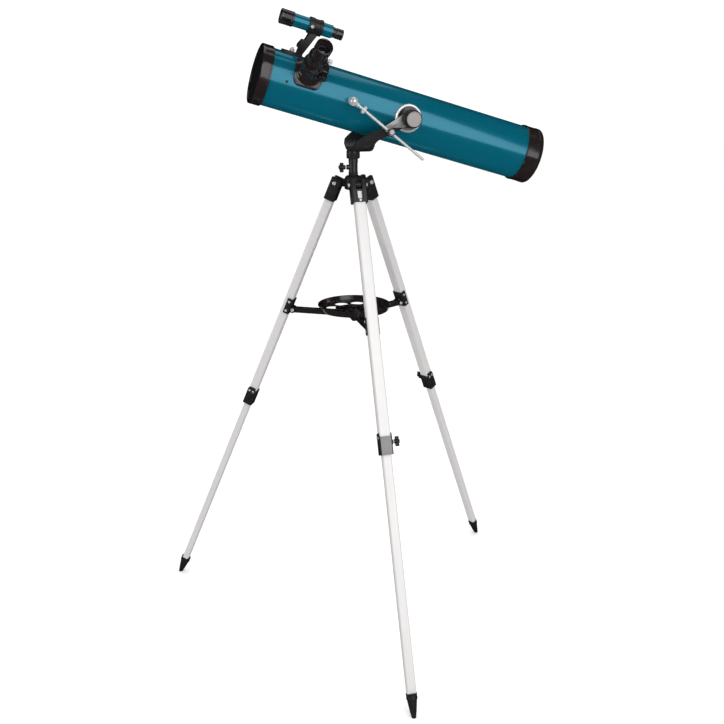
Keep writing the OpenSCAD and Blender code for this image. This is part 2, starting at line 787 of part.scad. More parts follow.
module clamp(k) {
    top = clamp_len / 2;
    ear_mid = upper_w / 2 + clamp_wall / 2;
    color([0.1, 0.1, 0.1]) at_leg(k) translate([0, 0, upper_grip - top - upper_end]) difference() {
        union() {
            bar(-top, top, upper_w + 2 * clamp_wall, upper_d + 2 * clamp_wall, 4);
            for (side = [-1, 1]) translate([0, side * ear_mid, top - 1 + ear_len / 2])
                cube([upper_d - 2, clamp_wall - 0.1, ear_len], center = true);
        }
        bar(top - upper_grip - seat_gap, top + ear_len + 1, upper_w + 2 * seat_gap,
            upper_d + 2 * seat_gap, leg_corner);
        bar(-top - 1, top, lower_w + 2 * run_gap, lower_d + 2 * run_gap, leg_corner);
        translate([0, 0, top - upper_grip - lock_drop]) along_y(0, upper_w, clamp_screw_r + run_gap);
    }
}

module clamp_knob(k) {
    seat = upper_w / 2 + clamp_wall;
    color([0.08, 0.08, 0.08]) at_leg(k) translate([0, 0, -upper_end - lock_drop]) {
        along_y(lower_w / 2 + move_gap, seat + knob_stand + 2, clamp_screw_r);
        along_y(seat + knob_stand, seat + knob_stand + 12, 5);
        translate([-2.2, seat + knob_stand + 2, -11]) cube([4.4, 9, 22]);
    }
}

module foot(k) {
    color([0.08, 0.08, 0.08]) intersection() {
        at_leg(k) {
            bar(-leg_len + foot_len - 1, -leg_len + foot_len + 15,
                lower_w - 2 * leg_wall - 2 * seat_gap, lower_d - 2 * leg_wall - 2 * seat_gap,
                leg_corner - leg_wall);
            translate([0, 0, -leg_len]) rotate_extrude() polygon([[0, -3], [foot_tip_r - 1, -3],
                [foot_tip_r, 0], [11, foot_len - 12], [12, foot_len - 6], [12, foot_len - seat_gap],
                [0, foot_len - seat_gap]]);
        }
        translate([-2 * foot_r, -2 * foot_r, 0]) cube([4 * foot_r, 4 * foot_r, hinge_h]);
    }
}

module at_arm(k) {
    at_column() rotate([0, 0, leg_azimuth(k)]) translate([bracket_pin_r, 0, spreader_z]) children();
}

module spreader_arm(k) {
    color([0.08, 0.08, 0.08]) at_arm(k) difference() {
        union() {
            translate([-arm_len, -arm_w / 2, -arm_t / 2]) cube([arm_len, arm_w, arm_t]);
            along_y(-arm_w / 2, arm_w / 2, arm_t / 2);
            translate([-arm_len, 0, 0]) along_y(-arm_w / 2, arm_w / 2, arm_t / 2);
            translate([-arm_len, 0, 0]) along_y(-arm_w / 2 - 3, arm_w / 2 + 3, pin_r - 0.5);
        }
        along_y(-arm_w, arm_w, pin_r + run_gap);
    }
}

module spreader_pin(k) {
    wide = ear_y + ear_t / 2;
    at_arm(k) {
        along_y(-wide - 1, wide + 1, pin_r);
        for (side = [-1, 1]) translate([0, side * (wide + 0.8), 0]) along_y(-0.7, 0.7, 4);
    }
}

module spreader_plate() {
    slot_w = arm_w + 2 * move_gap + 1;
    rim_r = plate_pin_r + 8;
    color([0.1, 0.1, 0.1]) at_column() difference() {
        union() {
            span(plate_top - plate_t, plate_top, plate_hub_r);
            span(plate_top - 3, plate_top, rim_r);
            for (k = LEGS) rotate([0, 0, leg_azimuth(k)]) for (side = [-1, 1])
                translate([0, side * (slot_w / 2 + 4) - 4, plate_top - plate_t])
                    cube([rim_r - 2, 8, plate_t]);
        }
        for (k = LEGS) rotate([0, 0, leg_azimuth(k)]) {
            translate([plate_hub_r - 0.5, -slot_w / 2, plate_top - plate_t - 1])
                cube([rim_r, slot_w, plate_t + 2]);
            translate([plate_hub_r, -slot_w / 2 - 3, spreader_z - 7])
                cube([rim_r - plate_hub_r - 5, slot_w + 6, 13]);
        }
        span(plate_top - plate_t - 1, plate_top + 1, tray_screw_r + run_gap);
    }
}

module tray() {
    color([0.08, 0.08, 0.08]) at_column() difference() {
        span(tray_z, tray_z + tray_h, tray_r, $fn = 96);
        span(tray_z + tray_wall, tray_z + tray_h + 1, tray_r - tray_wall, $fn = 96);
        for (i = [0:tray_holes - 1]) rotate([0, 0, 360 * (i + 0.5) / tray_holes])
            translate([tray_ring_r, 0, 0]) span(tray_z - 1, tray_z + tray_wall + 1, tray_hole_r);
        span(tray_z - 1, tray_z + tray_wall + 1, tray_screw_r + run_gap);
    }
}

module tray_screw() {
    color([0.7, 0.7, 0.72]) at_column() {
        span(plate_top - plate_t + 2, tray_z + tray_wall + 2, tray_screw_r);
        translate([0, 0, tray_z + tray_wall + move_gap]) linear_extrude(8)
            polygon(lobes(tray_knob_r, 0.8, 10));
    }
}

front_cap();
optical_tube();
rear_cap();
mirror_cell();
primary_mirror();
collimation_screws();
secondary_mirror();
secondary_holder();
spider();
tube_screws();
focuser_base();
drawtube();
pinion_shaft();
focus_knobs();
eyepiece();
eyepiece_lens();
eyepiece_clamp_screw();
finder_bracket();
finder_tube();
finder_objective_cell();
finder_lens();
finder_eyepiece();
finder_nuts();
trunnion_plates();
yoke();
altitude_knob_near();
altitude_knob_far();
azimuth_knob();
rod();
rod_nut();
rod_block();
rod_block_screw();
rod_anchor();
hub();
hinge_bolts();
spreader_plate();
tray();
tray_screw();
for (k = LEGS) {
    leg_fittings(k);
    upper_leg(k);
    lower_leg(k);
    clamp(k);
    clamp_knob(k);
    foot(k);
    spreader_arm(k);
}
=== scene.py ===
"""A newtonian reflector telescope on a folding stand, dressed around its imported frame.

Sizes in this file are millimetres in each sub-assembly's own place. The bench turns them into metres
when it settles a finished piece, so that every object ends in the frame's own units.
"""
import json
import logging
import math
from dataclasses import dataclass, field
from enum import Enum
from typing import Iterable, Optional, Sequence

import bpy
from mathutils import Matrix, Vector


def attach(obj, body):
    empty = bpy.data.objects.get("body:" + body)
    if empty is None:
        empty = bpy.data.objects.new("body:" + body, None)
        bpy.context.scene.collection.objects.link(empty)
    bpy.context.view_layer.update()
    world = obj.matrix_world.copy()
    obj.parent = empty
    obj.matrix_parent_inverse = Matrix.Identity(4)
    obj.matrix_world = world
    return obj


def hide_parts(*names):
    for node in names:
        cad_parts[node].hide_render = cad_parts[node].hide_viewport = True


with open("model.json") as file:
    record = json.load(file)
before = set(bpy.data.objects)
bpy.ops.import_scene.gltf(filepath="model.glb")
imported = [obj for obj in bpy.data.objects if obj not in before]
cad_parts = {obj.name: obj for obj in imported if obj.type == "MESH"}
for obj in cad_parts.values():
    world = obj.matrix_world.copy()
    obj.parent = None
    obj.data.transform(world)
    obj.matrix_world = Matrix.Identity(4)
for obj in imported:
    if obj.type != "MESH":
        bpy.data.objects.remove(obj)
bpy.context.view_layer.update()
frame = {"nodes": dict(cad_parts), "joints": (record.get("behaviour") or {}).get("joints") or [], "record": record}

LOG = logging.getLogger("telescope")
JOINTS = {joint["name"]: joint for joint in frame["joints"]}
MOUNTS = {mount["name"]: mount for mount in frame["record"]["mounts"]}
MILLIMETRES = Matrix.Scale(0.001, 4)
TINY = 0.01
LEGS = (1, 2, 3)
TUBE_RADIUS = 60.3
TUBE_BORE = 60.35
FOCUSER_Z = 234.0
ROD_START = 27.5
RACK_SLOT = 7.6
PIN_HOLE = 2.56
FIT = 0.06
Point = tuple[float, float]
Piece = bpy.types.Object
SIDE_ON = Matrix(((0, 0, 1, 0), (0, 1, 0, 0), (-1, 0, 0, 0), (0, 0, 0, 1)))


class Slot(Enum):
    """The record's material slots, named for the new pieces."""

    TEAL = "teal_paint"
    CAP = "cap_plastic"
    PLASTIC = "black_plastic"
    CASTING = "fork_casting"
    CHROME = "chrome"
    MIRROR = "mirror_glass"
    LENS = "lens_glass"
    LEG = "leg_aluminium"


def shift(x: float, y: float, z: float) -> Matrix:
    """Gives a move as a matrix."""
    return Matrix.Translation((x, y, z))


def spin(degrees: float, axis: str = "Z") -> Matrix:
    """Gives a turn round an axis as a matrix."""
    return Matrix.Rotation(math.radians(degrees), 4, axis)


class Turn(Enum):
    """Ways to lay down a piece that was made upright along Z."""

    UPRIGHT = Matrix.Identity(4)
    ALONG_X = spin(90, "Y")
    ALONG_Y = spin(-90, "X")
    AGAINST_X = spin(-90, "Y")
    AGAINST_Y = spin(90, "X")


SIDES = ((1, Turn.ALONG_Y), (-1, Turn.AGAINST_Y))


def place_at(origin: Vector, up: Vector, out: Vector) -> Matrix:
    """Makes the place of a sub-assembly.

    Args:
        origin: Where the place's origin lies, in metres.
        up: The way its Z points.
        out: The way its X points, as near as square allows.

    Returns:
        The place as a matrix in metres.
    """
    z = up.normalized()
    y = z.cross(out).normalized()
    x = y.cross(z)
    return Matrix.Translation(origin) @ Matrix((x, y, z)).transposed().to_4x4()


def joint_at(name: str) -> Vector:
    """Gives a joint's point in metres."""
    return Vector(JOINTS[name]["pos_m"])


def joint_axis(name: str) -> Vector:
    """Gives a joint's axis."""
    return Vector(JOINTS[name]["axis"])


def arc(centre: Point, radius: float, start: float, end: float, steps: int) -> list[Point]:
    """Gives points along an arc.

    Args:
        centre: Middle of the arc.
        radius: Radius of the arc.
        start: First angle in degrees.
        end: Last angle in degrees.
        steps: Number of straight steps.

    Returns:
        The points, from the first angle to the last.
    """
    angles = [math.radians(start + (end - start) * i / steps) for i in range(steps + 1)]
    return [(centre[0] + radius * math.cos(a), centre[1] + radius * math.sin(a)) for a in angles]


def post(radius: float, low: float, high: float) -> list[Point]:
    """Gives the profile of a plain cylinder."""
    return [(0, low), (radius, low), (radius, high), (0, high)]


def closed(*points: Point) -> list[Point]:
    """Gives a profile that ends where it starts."""
    return [*points, points[0]]


def near(radius: float, height: float, *steps: Point) -> list[Point]:
    """Gives profile points by their distances from one radius and height."""
    return [(radius + out, height + up) for out, up in steps]


def round_rect(width: float, depth: float, radius: float, steps: int = 5) -> list[Point]:
    """Gives the outline of a rectangle with round corners, width along X and depth along Y."""
    x, y = width / 2 - radius, depth / 2 - radius
    corners = ((x, y, 0), (-x, y, 90), (-x, -y, 180), (x, -y, 270))
    return [p for cx, cy, a in corners for p in arc((cx, cy), radius, a, a + 90, steps)]


class Bench:
    """Blender's own modelling operators, used as by hand."""

    def clear(self) -> None:
        """Deselects everything."""
        bpy.ops.object.select_all(action="DESELECT")

    def take(self, piece: Piece) -> None:
        """Selects one piece and makes it active."""
        self.clear()
        piece.select_set(True)
        bpy.context.view_layer.objects.active = piece

    def edit(self, piece: Piece) -> None:
        """Opens a piece in edit mode with all of it selected."""
        self.take(piece)
        bpy.ops.object.mode_set(mode="EDIT")
        bpy.ops.mesh.select_all(action="SELECT")

    def close(self, weld: float = TINY) -> Piece:
        """Merges doubles, turns the faces outwards and leaves edit mode.

        Args:
            weld: Distance within which vertices are merged.

        Returns:
            The piece that was open.
        """
        bpy.ops.mesh.select_all(action="SELECT")
        bpy.ops.mesh.remove_doubles(threshold=weld)
        bpy.ops.mesh.normals_make_consistent(inside=False)
        bpy.ops.object.mode_set(mode="OBJECT")
        return bpy.context.object

    def turned(self, name: str, profile: Sequence[Point], segments: int = 64, turn: Turn = Turn.UPRIGHT,
            at: tuple = (0, 0, 0)) -> Piece:
        """Turns a profile round an axis by extruding and scaling a circle, loop after loop.

        Args:
            name: Name of the piece.
            profile: Radius and height of each loop. A first and last radius of 0 close the piece.
            segments: Number of sides of the circle.
            turn: How the piece is laid down.
            at: Where the axis starts.

        Returns:
            The new piece.
        """
        loops = [(max(radius, TINY / 2), height) for radius, height in profile]
        self.clear()
        bpy.ops.mesh.primitive_circle_add(vertices=segments, radius=loops[0][0])
        piece = bpy.context.object
        piece.name = name
        self.edit(piece)
        bpy.ops.transform.translate(value=(0, 0, loops[0][1]))
        for (r_from, z_from), (r_to, z_to) in zip(loops, loops[1:]):
            bpy.ops.mesh.extrude_region_move(TRANSFORM_OT_translate={"value": (0, 0, z_to - z_from)})
            scale = r_to / r_from
            bpy.ops.transform.resize(value=(scale, scale, 1), center_override=(0, 0, z_to))
        self.close(1.2 * TINY)
        return self.lay(piece, turn, at)

    def outline(self, name: str, points: Sequence[Point], low: float, high: float,
            turn: Turn = Turn.UPRIGHT, at: tuple = (0, 0, 0)) -> Piece:
        """Extrudes an outline to a slab.

        Args:
            name: Name of the piece.
            points: The outline's points in order.
            low: Height of the slab's underside.
            high: Height of its top.
            turn: How the slab is laid down.
            at: Where its origin goes.

        Returns:
            The new piece.
        """
        self.clear()
        bpy.ops.mesh.primitive_circle_add(vertices=len(points), radius=1, fill_type="NGON")
        piece = bpy.context.object
        piece.name = name
        for vertex, (x, y) in zip(piece.data.vertices, points):
            vertex.co = (x, y, low)
        self.edit(piece)
        bpy.ops.mesh.extrude_region_move(TRANSFORM_OT_translate={"value": (0, 0, high - low)})
        self.close()
        return self.lay(piece, turn, at)

    def block(self, name: str, size: tuple, at: tuple, bevel: float = 0.6) -> Piece:
        """Makes a block with soft edges.

        Args:
            name: Name of the piece.
            size: Its three sides.
            at: Its middle.
            bevel: Width of the soft edges.

        Returns:
            The new piece.
        """
        self.clear()
        bpy.ops.mesh.primitive_cube_add(size=1)
        piece = bpy.context.object
        piece.name = name
        self.edit(piece)
        bpy.ops.transform.resize(value=size)
        bpy.ops.transform.translate(value=at)
        if bevel:
            bpy.ops.mesh.bevel(offset=bevel, segments=2, affect="EDGES")
        return self.close()

    def ribbed(self, name: str, radius: float, depth: float, ribs: int, low: float, high: float,
            bevel: float = 0.5, turn: Turn = Turn.UPRIGHT, at: tuple = (0, 0, 0)) -> Piece:
        """Makes a grip: a disc with ribs round its edge.

        Args:
            name: Name of the piece.
            radius: Radius over the ribs.
            depth: Depth of the grooves between them.
            ribs: Number of ribs.
            low: Height of its underside.
            high: Height of its top.
            bevel: Width of its soft rims.
            turn: How it is laid down.
            at: Where its axis starts.

        Returns:
            The new piece.
        """
        radii = (radius, radius, radius - depth, radius - depth)
        points = []
        for i in range(4 * ribs):
            angle = 2 * math.pi * i / (4 * ribs)
            points.append((radii[i % 4] * math.cos(angle), radii[i % 4] * math.sin(angle)))
        piece = self.outline(name, points, low, high)
        self.soften(piece, bevel, 60)
        return self.lay(piece, turn, at)

    def lay(self, piece: Piece, turn: Turn, at: tuple) -> Piece:
        """Lays a piece down and moves it, in its mesh."""
        piece.data.transform(Matrix.Translation(at) @ turn.value)
        return piece

    def put(self, piece: Piece, move: Matrix) -> Piece:
        """Moves a piece in its mesh by any matrix."""
        piece.data.transform(move)
        return piece

    def copy(self, piece: Piece, name: str) -> Piece:
        """Copies a piece with a mesh of its own."""
        twin = piece.copy()
        twin.data = piece.data.copy()
        twin.name = name
        bpy.context.scene.collection.objects.link(twin)
        return twin

    def round_copies(self, piece: Piece, count: int, axis: str = "Z") -> list[Piece]:
        """Repeats a piece evenly round an axis, the first included."""
        step = 2 * math.pi / count
        twins = [self.put(self.copy(piece, piece.name), Matrix.Rotation(step * i, 4, axis))
                for i in range(1, count)]
        return [piece, *twins]

    def joined(self, name: str, parts: Sequence[Piece]) -> Piece:
        """Joins separate shells into one piece."""
        self.clear()
        for part in parts:
            part.select_set(True)
        bpy.context.view_layer.objects.active = parts[0]
        bpy.ops.object.join()
        piece = bpy.context.object
        piece.name = name
        return piece

    def carve(self, piece: Piece, tool: Piece, operation: str = "DIFFERENCE") -> Piece:
        """Cuts, trims or fuses a piece with a tool, which is used up.

        Args:
            piece: The piece to change.
            tool: The other solid.
            operation: DIFFERENCE, INTERSECT or UNION.

        Returns:
            The changed piece.
        """
        change = piece.modifiers.new("carve", "BOOLEAN")
        change.operation, change.object, change.solver = operation, tool, "EXACT"
        self.take(piece)
        bpy.ops.object.modifier_apply(modifier=change.name)
        mesh = tool.data
        bpy.data.objects.remove(tool)
        bpy.data.meshes.remove(mesh)
        return piece

    def soften(self, piece: Piece, width: float, angle: float = 35, segments: int = 2) -> Piece:
        """Rounds the edges that are sharper than an angle in degrees."""
        round_off = piece.modifiers.new("soften", "BEVEL")
        round_off.limit_method = "ANGLE"
        round_off.angle_limit = math.radians(angle)
        round_off.width, round_off.segments = width, segments
        round_off.use_clamp_overlap = True
        self.take(piece)
        bpy.ops.object.modifier_apply(modifier=round_off.name)
        return piece

    def settle(self, piece: Piece, place: Matrix, smooth: float = 32) -> Piece:
        """Finishes a piece: shades it smooth and moves its mesh to its place in metres."""
        piece.data.transform(place @ MILLIMETRES)
        self.take(piece)
        bpy.ops.object.shade_smooth_by_angle(angle=math.radians(smooth))
        return piece


BENCH = Bench()


# ---- Shader graphs ----

class Wire:
    """An output socket on which Python's arithmetic adds Math nodes."""

    def __init__(self, graph: "Graph", socket: bpy.types.NodeSocket) -> None:
        """Wraps one socket of a graph."""
        self.graph, self.socket = graph, socket

    def _math(self, operation: str, first: object, second: object) -> "Wire":
        """Adds a Math node on two values."""
        return self.graph.wire("ShaderNodeMath", {"operation": operation}, {0: first, 1: second})

    def __add__(self, other: object) -> "Wire":
        """Adds."""
        return self._math("ADD", self, other)

    def __radd__(self, other: object) -> "Wire":
        """Adds from the right."""
        return self._math("ADD", other, self)

    def __sub__(self, other: object) -> "Wire":
        """Subtracts."""
        return self._math("SUBTRACT", self, other)

    def __rsub__(self, other: object) -> "Wire":
        """Subtracts from a number."""
        return self._math("SUBTRACT", other, self)

    def __mul__(self, other: object) -> "Wire":
        """Multiplies."""
        return self._math("MULTIPLY", self, other)

    def __rmul__(self, other: object) -> "Wire":
        """Multiplies from the right."""
        return self._math("MULTIPLY", other, self)

    def __truediv__(self, other: object) -> "Wire":
        """Divides."""
        return self._math("DIVIDE", self, other)

    def __pow__(self, other: object) -> "Wire":
        """Raises to a power."""
        return self._math("POWER", self, other)


class Graph:
    """A material's node tree with one Principled surface."""

    def __init__(self, name: str) -> None:
        """Starts a material of that name."""
        self.material = bpy.data.materials.new(name)
        self.material.use_nodes = True
        self.tree = self.material.node_tree
        self.surface = self.tree.nodes["Principled BSDF"]

    def node(self, kind: str, settings: Optional[dict] = None,
            sockets: Optional[dict] = None) -> bpy.types.Node:
        """Adds any node.

        Args:
            kind: The node's type.
            settings: Its properties, set first. A ramp's stops go under "stops".
            sockets: Values or wires for its input sockets, by name or index.

        Returns:
            The new node.
        """
        node = self.tree.nodes.new(kind)
        for key, value in (settings or {}).items():
            if key == "stops":
                self._fill_ramp(node.color_ramp, value)
            else:
                setattr(node, key, value)
        for key, value in (sockets or {}).items():
            self.feed(node.inputs[key], value)
        return node

    def _fill_ramp(self, ramp: bpy.types.ColorRamp, stops: Sequence[tuple]) -> None:
        """Sets a ramp's stops from pairs of position and colour."""
        while len(ramp.elements) < len(stops):
            ramp.elements.new(0.5)
        for element, (position, colour) in zip(ramp.elements, stops):
            element.position, element.color = position, (*colour, 1.0)

    def feed(self, socket: bpy.types.NodeSocket, value: object) -> None:
        """Links a wire to a socket, or sets the socket's own value."""
        if isinstance(value, Wire):
            self.tree.links.new(value.socket, socket)
        elif hasattr(socket.default_value, "__len__") and len(socket.default_value) == 4:
            socket.default_value = (*value, 1.0)[:4]
        else:
            socket.default_value = value

    def wire(self, kind: str, settings: Optional[dict] = None, sockets: Optional[dict] = None,
            output: object = 0) -> Wire:
        """Adds any node and gives one of its outputs."""
        return Wire(self, self.node(kind, settings, sockets).outputs[output])

    def where(self, turn: Matrix = Matrix.Identity(4), stretch: tuple = (1, 1, 1)) -> Wire:
        """Gives Object coordinates, turned into a piece's own axes and stretched.

        Args:
            turn: The piece's place.
            stretch: Scale along its own axes.

        Returns:
            The coordinate wire.
        """
        spot = self.wire("ShaderNodeTexCoord", output="Object")
        inverse = turn.inverted()
        spot = self.wire("ShaderNodeMapping", {"vector_type": "POINT"},
                {"Vector": spot, "Location": inverse.translation, "Rotation": inverse.to_euler()})
        return self.wire("ShaderNodeMapping", {"vector_type": "POINT"}, {"Vector": spot, "Scale": stretch})

    def noise(self, spot: Wire, scale: float, detail: float = 3.0, rough: float = 0.55) -> Wire:
        """Gives fractal noise from 0 to 1."""
        return self.wire("ShaderNodeTexNoise", {}, {"Vector": spot, "Scale": scale, "Detail": detail,
                "Roughness": rough})

    def ease(self, value: Wire, low: float, high: float, start: float = 0.0, end: float = 1.0) -> Wire:
        """Maps a range smoothly onto another."""
        return self.wire("ShaderNodeMapRange", {"interpolation_type": "SMOOTHSTEP"},
                {"Value": value, "From Min": low, "From Max": high, "To Min": start, "To Max": end})

    def blend(self, factor: object, first: object, second: object) -> Wire:
        """Mixes two colours."""
        node = self.node("ShaderNodeMix", {"data_type": "RGBA"})
        self.feed(node.inputs[0], factor)
        self.feed(node.inputs[6], first)
        self.feed(node.inputs[7], second)
        return Wire(self, node.outputs[2])

    def axis(self, spot: Wire, name: str) -> Wire:
        """Gives one coordinate of a vector."""
        return self.wire("ShaderNodeSeparateXYZ", {}, {"Vector": spot}, name)

    def relief(self, height: Wire, strength: float, distance: float) -> None:
        """Bumps the surface by a height."""
        normal = self.wire("ShaderNodeBump", {}, {"Height": height, "Strength": strength,
                "Distance": distance})
        self.feed(self.surface.inputs["Normal"], normal)

    def finish(self, **sockets: object) -> bpy.types.Material:
        """Feeds the surface's sockets and gives the material.

        Args:
            **sockets: Socket names with underscores for spaces, and their values or wires.

        Returns:
            The finished material.
        """
        for key, value in sockets.items():
            self.feed(self.surface.inputs[key.replace("_", " ")], value)
        return self.material


@dataclass(frozen=True)
class MetallicPaint:
    """Sprayed metallic lacquer under a clear coat."""

    name: str = "teal_lacquer"
    deep: tuple = (0.0005, 0.148, 0.228)
    bright: tuple = (0.0012, 0.180, 0.270)
    turn: Matrix = field(default_factory=lambda: Matrix.Identity(4))

    def make(self) -> bpy.types.Material:
        """Builds the material."""
        g = Graph(self.name)
        spot = g.where(self.turn)
        flake = g.ease(g.noise(spot, 2600, 1.0), 0.35, 0.75)
        cloud = g.noise(spot, 9, 2.0)
        handling = g.noise(g.where(self.turn, (1.0, 1.0, 0.35)), 55, 5.0, 0.6)
        colour = g.blend(flake * 0.45 + cloud * 0.4, self.deep, self.bright)
        g.relief(g.noise(spot, 420, 2.0) * 0.6 + flake * 0.4, 0.035, 0.0002)
        return g.finish(Base_Color=colour, Metallic=g.ease(flake, 0, 1, 0.46, 0.58),
                Roughness=g.ease(handling, 0.3, 0.75, 0.17, 0.24), Coat_Weight=0.55, Coat_Roughness=0.05,
                Coat_IOR=1.5)


@dataclass(frozen=True)
class Plastic:
    """Moulded black plastic with a fine grain and rubbed high spots."""

    name: str
    colour: tuple = (0.012, 0.012, 0.0125)
    rough: tuple = (0.34, 0.48)
    grain: float = 900.0
    depth: float = 0.16
    coat: float = 0.0

    def make(self) -> bpy.types.Material:
        """Builds the material."""
        g = Graph(self.name)
        spot = g.where()
        grain = g.noise(spot, self.grain, 2.0)
        rub = g.ease(g.noise(spot, 46, 6.0, 0.65), 0.50, 0.74)
        dust = g.ease(g.noise(spot, 240, 4.0, 0.7), 0.58, 0.80)
        lighter = tuple(channel * 2.3 + 0.006 for channel in self.colour)
        colour = g.blend(rub * 0.35 + dust * 0.25, self.colour, lighter)
        g.relief(grain, self.depth, 0.00012)
        low, high = self.rough
        return g.finish(Base_Color=colour, Roughness=g.ease(rub * 0.6 + grain * 0.5, 0.15, 0.85, low, high),
                Specular_IOR_Level=0.5, Coat_Weight=self.coat, Coat_Roughness=0.12)


@dataclass(frozen=True)
class WornCastingWithPaintedSheen:
    """Satin black enamel on a casting, with a lighter brushed-metal patch on the outer face of the arms that is
    partly rubbed-through wear and partly a painted reflection of the light on the arms' flat faces.
    """

    name: str
    turn: Matrix
    # Where the patch of painted sheen and wear starts and ends along the arms, and the outer face it lies on.
    sheen_and_wear_start: float = -0.022
    sheen_and_wear_end: float = 0.102
    face: float = 0.0700

    def make(self) -> bpy.types.Material:
        """Builds the material."""
        g = Graph(self.name)
        spot = g.where(self.turn)
        along = g.axis(spot, "X")
        side = g.wire("ShaderNodeMath", {"operation": "ABSOLUTE"}, {0: g.axis(spot, "Y")})
        scuff = g.noise(g.where(self.turn, (1, 1, 3)), 60, 5.0, 0.65)
        # Painted reflection and wear: the grey metal patch along the arms' outer faces stands for the light
        # reflected off their flat faces as well as for rubbed-through enamel.
        reach = g.ease(along + scuff * 0.03, self.sheen_and_wear_start, self.sheen_and_wear_end - 0.05)
        stop = g.ease(along, self.sheen_and_wear_end - 0.006, self.sheen_and_wear_end, 1.0, 0.0)
        sheen_and_wear = g.ease(reach * stop * g.ease(side, self.face - 0.001, self.face + 0.001) * (0.75 + scuff),
                0.34, 0.80)
        brushed = g.noise(g.where(self.turn @ spin(-34, "Y"), (30, 260, 420)), 1.0, 3.0)
        orange_peel = g.noise(spot, 520, 2.0)
        enamel = g.blend(g.noise(spot, 30, 4.0), (0.011, 0.0108, 0.0115), (0.026, 0.025, 0.027))
        metal = g.blend(brushed, (0.20, 0.195, 0.19), (0.50, 0.49, 0.48))
        g.relief(orange_peel * (1 - sheen_and_wear) + brushed * sheen_and_wear, 0.18, 0.0002)
        return g.finish(Base_Color=g.blend(sheen_and_wear, enamel, metal), Metallic=sheen_and_wear * 0.45,
                Roughness=g.ease(brushed, 0, 1, 0.22, 0.38), Coat_Weight=0.35, Coat_Roughness=0.12)


@dataclass(frozen=True)
class Chrome:
    """Bright plating with faint smears."""

    name: str = "bright_plating"
    colour: tuple = (0.90, 0.90, 0.91)
    rough: tuple = (0.06, 0.18)
    metallic: float = 0.66

    def make(self) -> bpy.types.Material:
        """Builds the material."""
        g = Graph(self.name)
        spot = g.where()
        smear = g.noise(spot, 130, 5.0, 0.65)
        g.relief(g.noise(spot, 1500, 2.0), 0.03, 0.0001)
        tint = tuple(channel * 0.86 for channel in self.colour)
        return g.finish(Base_Color=g.blend(smear, self.colour, tint), Metallic=self.metallic,
                Roughness=g.ease(smear, 0.3, 0.75, *self.rough))


@dataclass(frozen=True)
class Aluminium:
    """Satin anodised extrusion with die lines along its length."""

    name: str
    turn: Matrix
    colour: tuple = (0.78, 0.76, 0.765)

    def make(self) -> bpy.types.Material:
        """Builds the material."""
        g = Graph(self.name)
        lines = g.noise(g.where(self.turn, (900, 900, 4)), 1.0, 3.0)
        cloud = g.noise(g.where(self.turn, (1, 1, 0.3)), 22, 4.0)
        scuff = g.ease(g.noise(g.where(self.turn, (1, 1, 0.12)), 190, 5.0, 0.7), 0.60, 0.78)
        darker = tuple(channel * 0.84 for channel in self.colour)
        colour = g.blend(lines * 0.5 + cloud * 0.4 + scuff * 0.4, self.colour, darker)
        g.relief(lines, 0.10, 0.0001)
        return g.finish(Base_Color=colour, Metallic=0.32, Roughness=g.ease(lines * 0.5 + cloud * 0.5 + scuff
                * 0.3, 0.25, 0.9, 0.34, 0.52))


@dataclass(frozen=True)
class BrushedDisc:
    """A turned disc with fine rings round its middle."""

    name: str
    turn: Matrix
    colour: tuple = (0.44, 0.40, 0.405)

    def make(self) -> bpy.types.Material:
        """Builds the material."""
        g = Graph(self.name)
        spot = g.where(self.turn)
        x, y = g.axis(spot, "X"), g.axis(spot, "Y")
        radius = (x * x + y * y) ** 0.5
        line = g.wire("ShaderNodeCombineXYZ", {}, {"X": radius})
        rings = g.noise(line, 1800, 2.0)
        speck = g.noise(spot, 300, 4.0)
        darker = tuple(channel * 0.68 for channel in self.colour)
        g.relief(rings, 0.25, 0.0001)
        return g.finish(Base_Color=g.blend(rings * 0.6 + speck * 0.4, self.colour, darker), Metallic=0.55,
                Roughness=g.ease(speck, 0.3, 0.7, 0.36, 0.50))


@dataclass(frozen=True)
class MattBlack:
    """Flat black paint inside the tube."""

    name: str = "matt_black"
    colour: tuple = (0.006, 0.006, 0.0065)

    def make(self) -> bpy.types.Material:
        """Builds the material."""
        g = Graph(self.name)
        spot = g.where()
        dust = g.noise(spot, 160, 6.0, 0.7)
        lighter = tuple(channel * 2.6 for channel in self.colour)
        g.relief(g.noise(spot, 1400, 2.0), 0.3, 0.0001)
        return g.finish(Base_Color=g.blend(dust, self.colour, lighter),
                Roughness=g.ease(dust, 0.2, 0.8, 0.62, 0.8), Specular_IOR_Level=0.3)


@dataclass(frozen=True)
class Mirror:
    """An aluminised glass face."""

    name: str = "mirror_coating"

    def make(self) -> bpy.types.Material:
        """Builds the material."""
        g = Graph(self.name)
        haze = g.noise(g.where(), 60, 5.0, 0.6)
        return g.finish(Base_Color=g.blend(haze, (0.88, 0.90, 0.92), (0.80, 0.83, 0.86)), Metallic=1.0,
                Roughness=g.ease(haze, 0.4, 0.8, 0.02, 0.07))


@dataclass(frozen=True)
class Glass:
    """A coated lens: nearly black glass with a faint bloom."""

    name: str = "coated_lens"

    def make(self) -> bpy.types.Material:
        """Builds the material."""
        g = Graph(self.name)
        bloom = g.noise(g.where(), 45, 3.0)
        return g.finish(Base_Color=g.blend(bloom, (0.004, 0.004, 0.007), (0.008, 0.007, 0.014)),
                Roughness=g.ease(bloom, 0.3, 0.7, 0.02, 0.05), Coat_Weight=1.0, Coat_Roughness=0.02,
                Specular_IOR_Level=0.4)


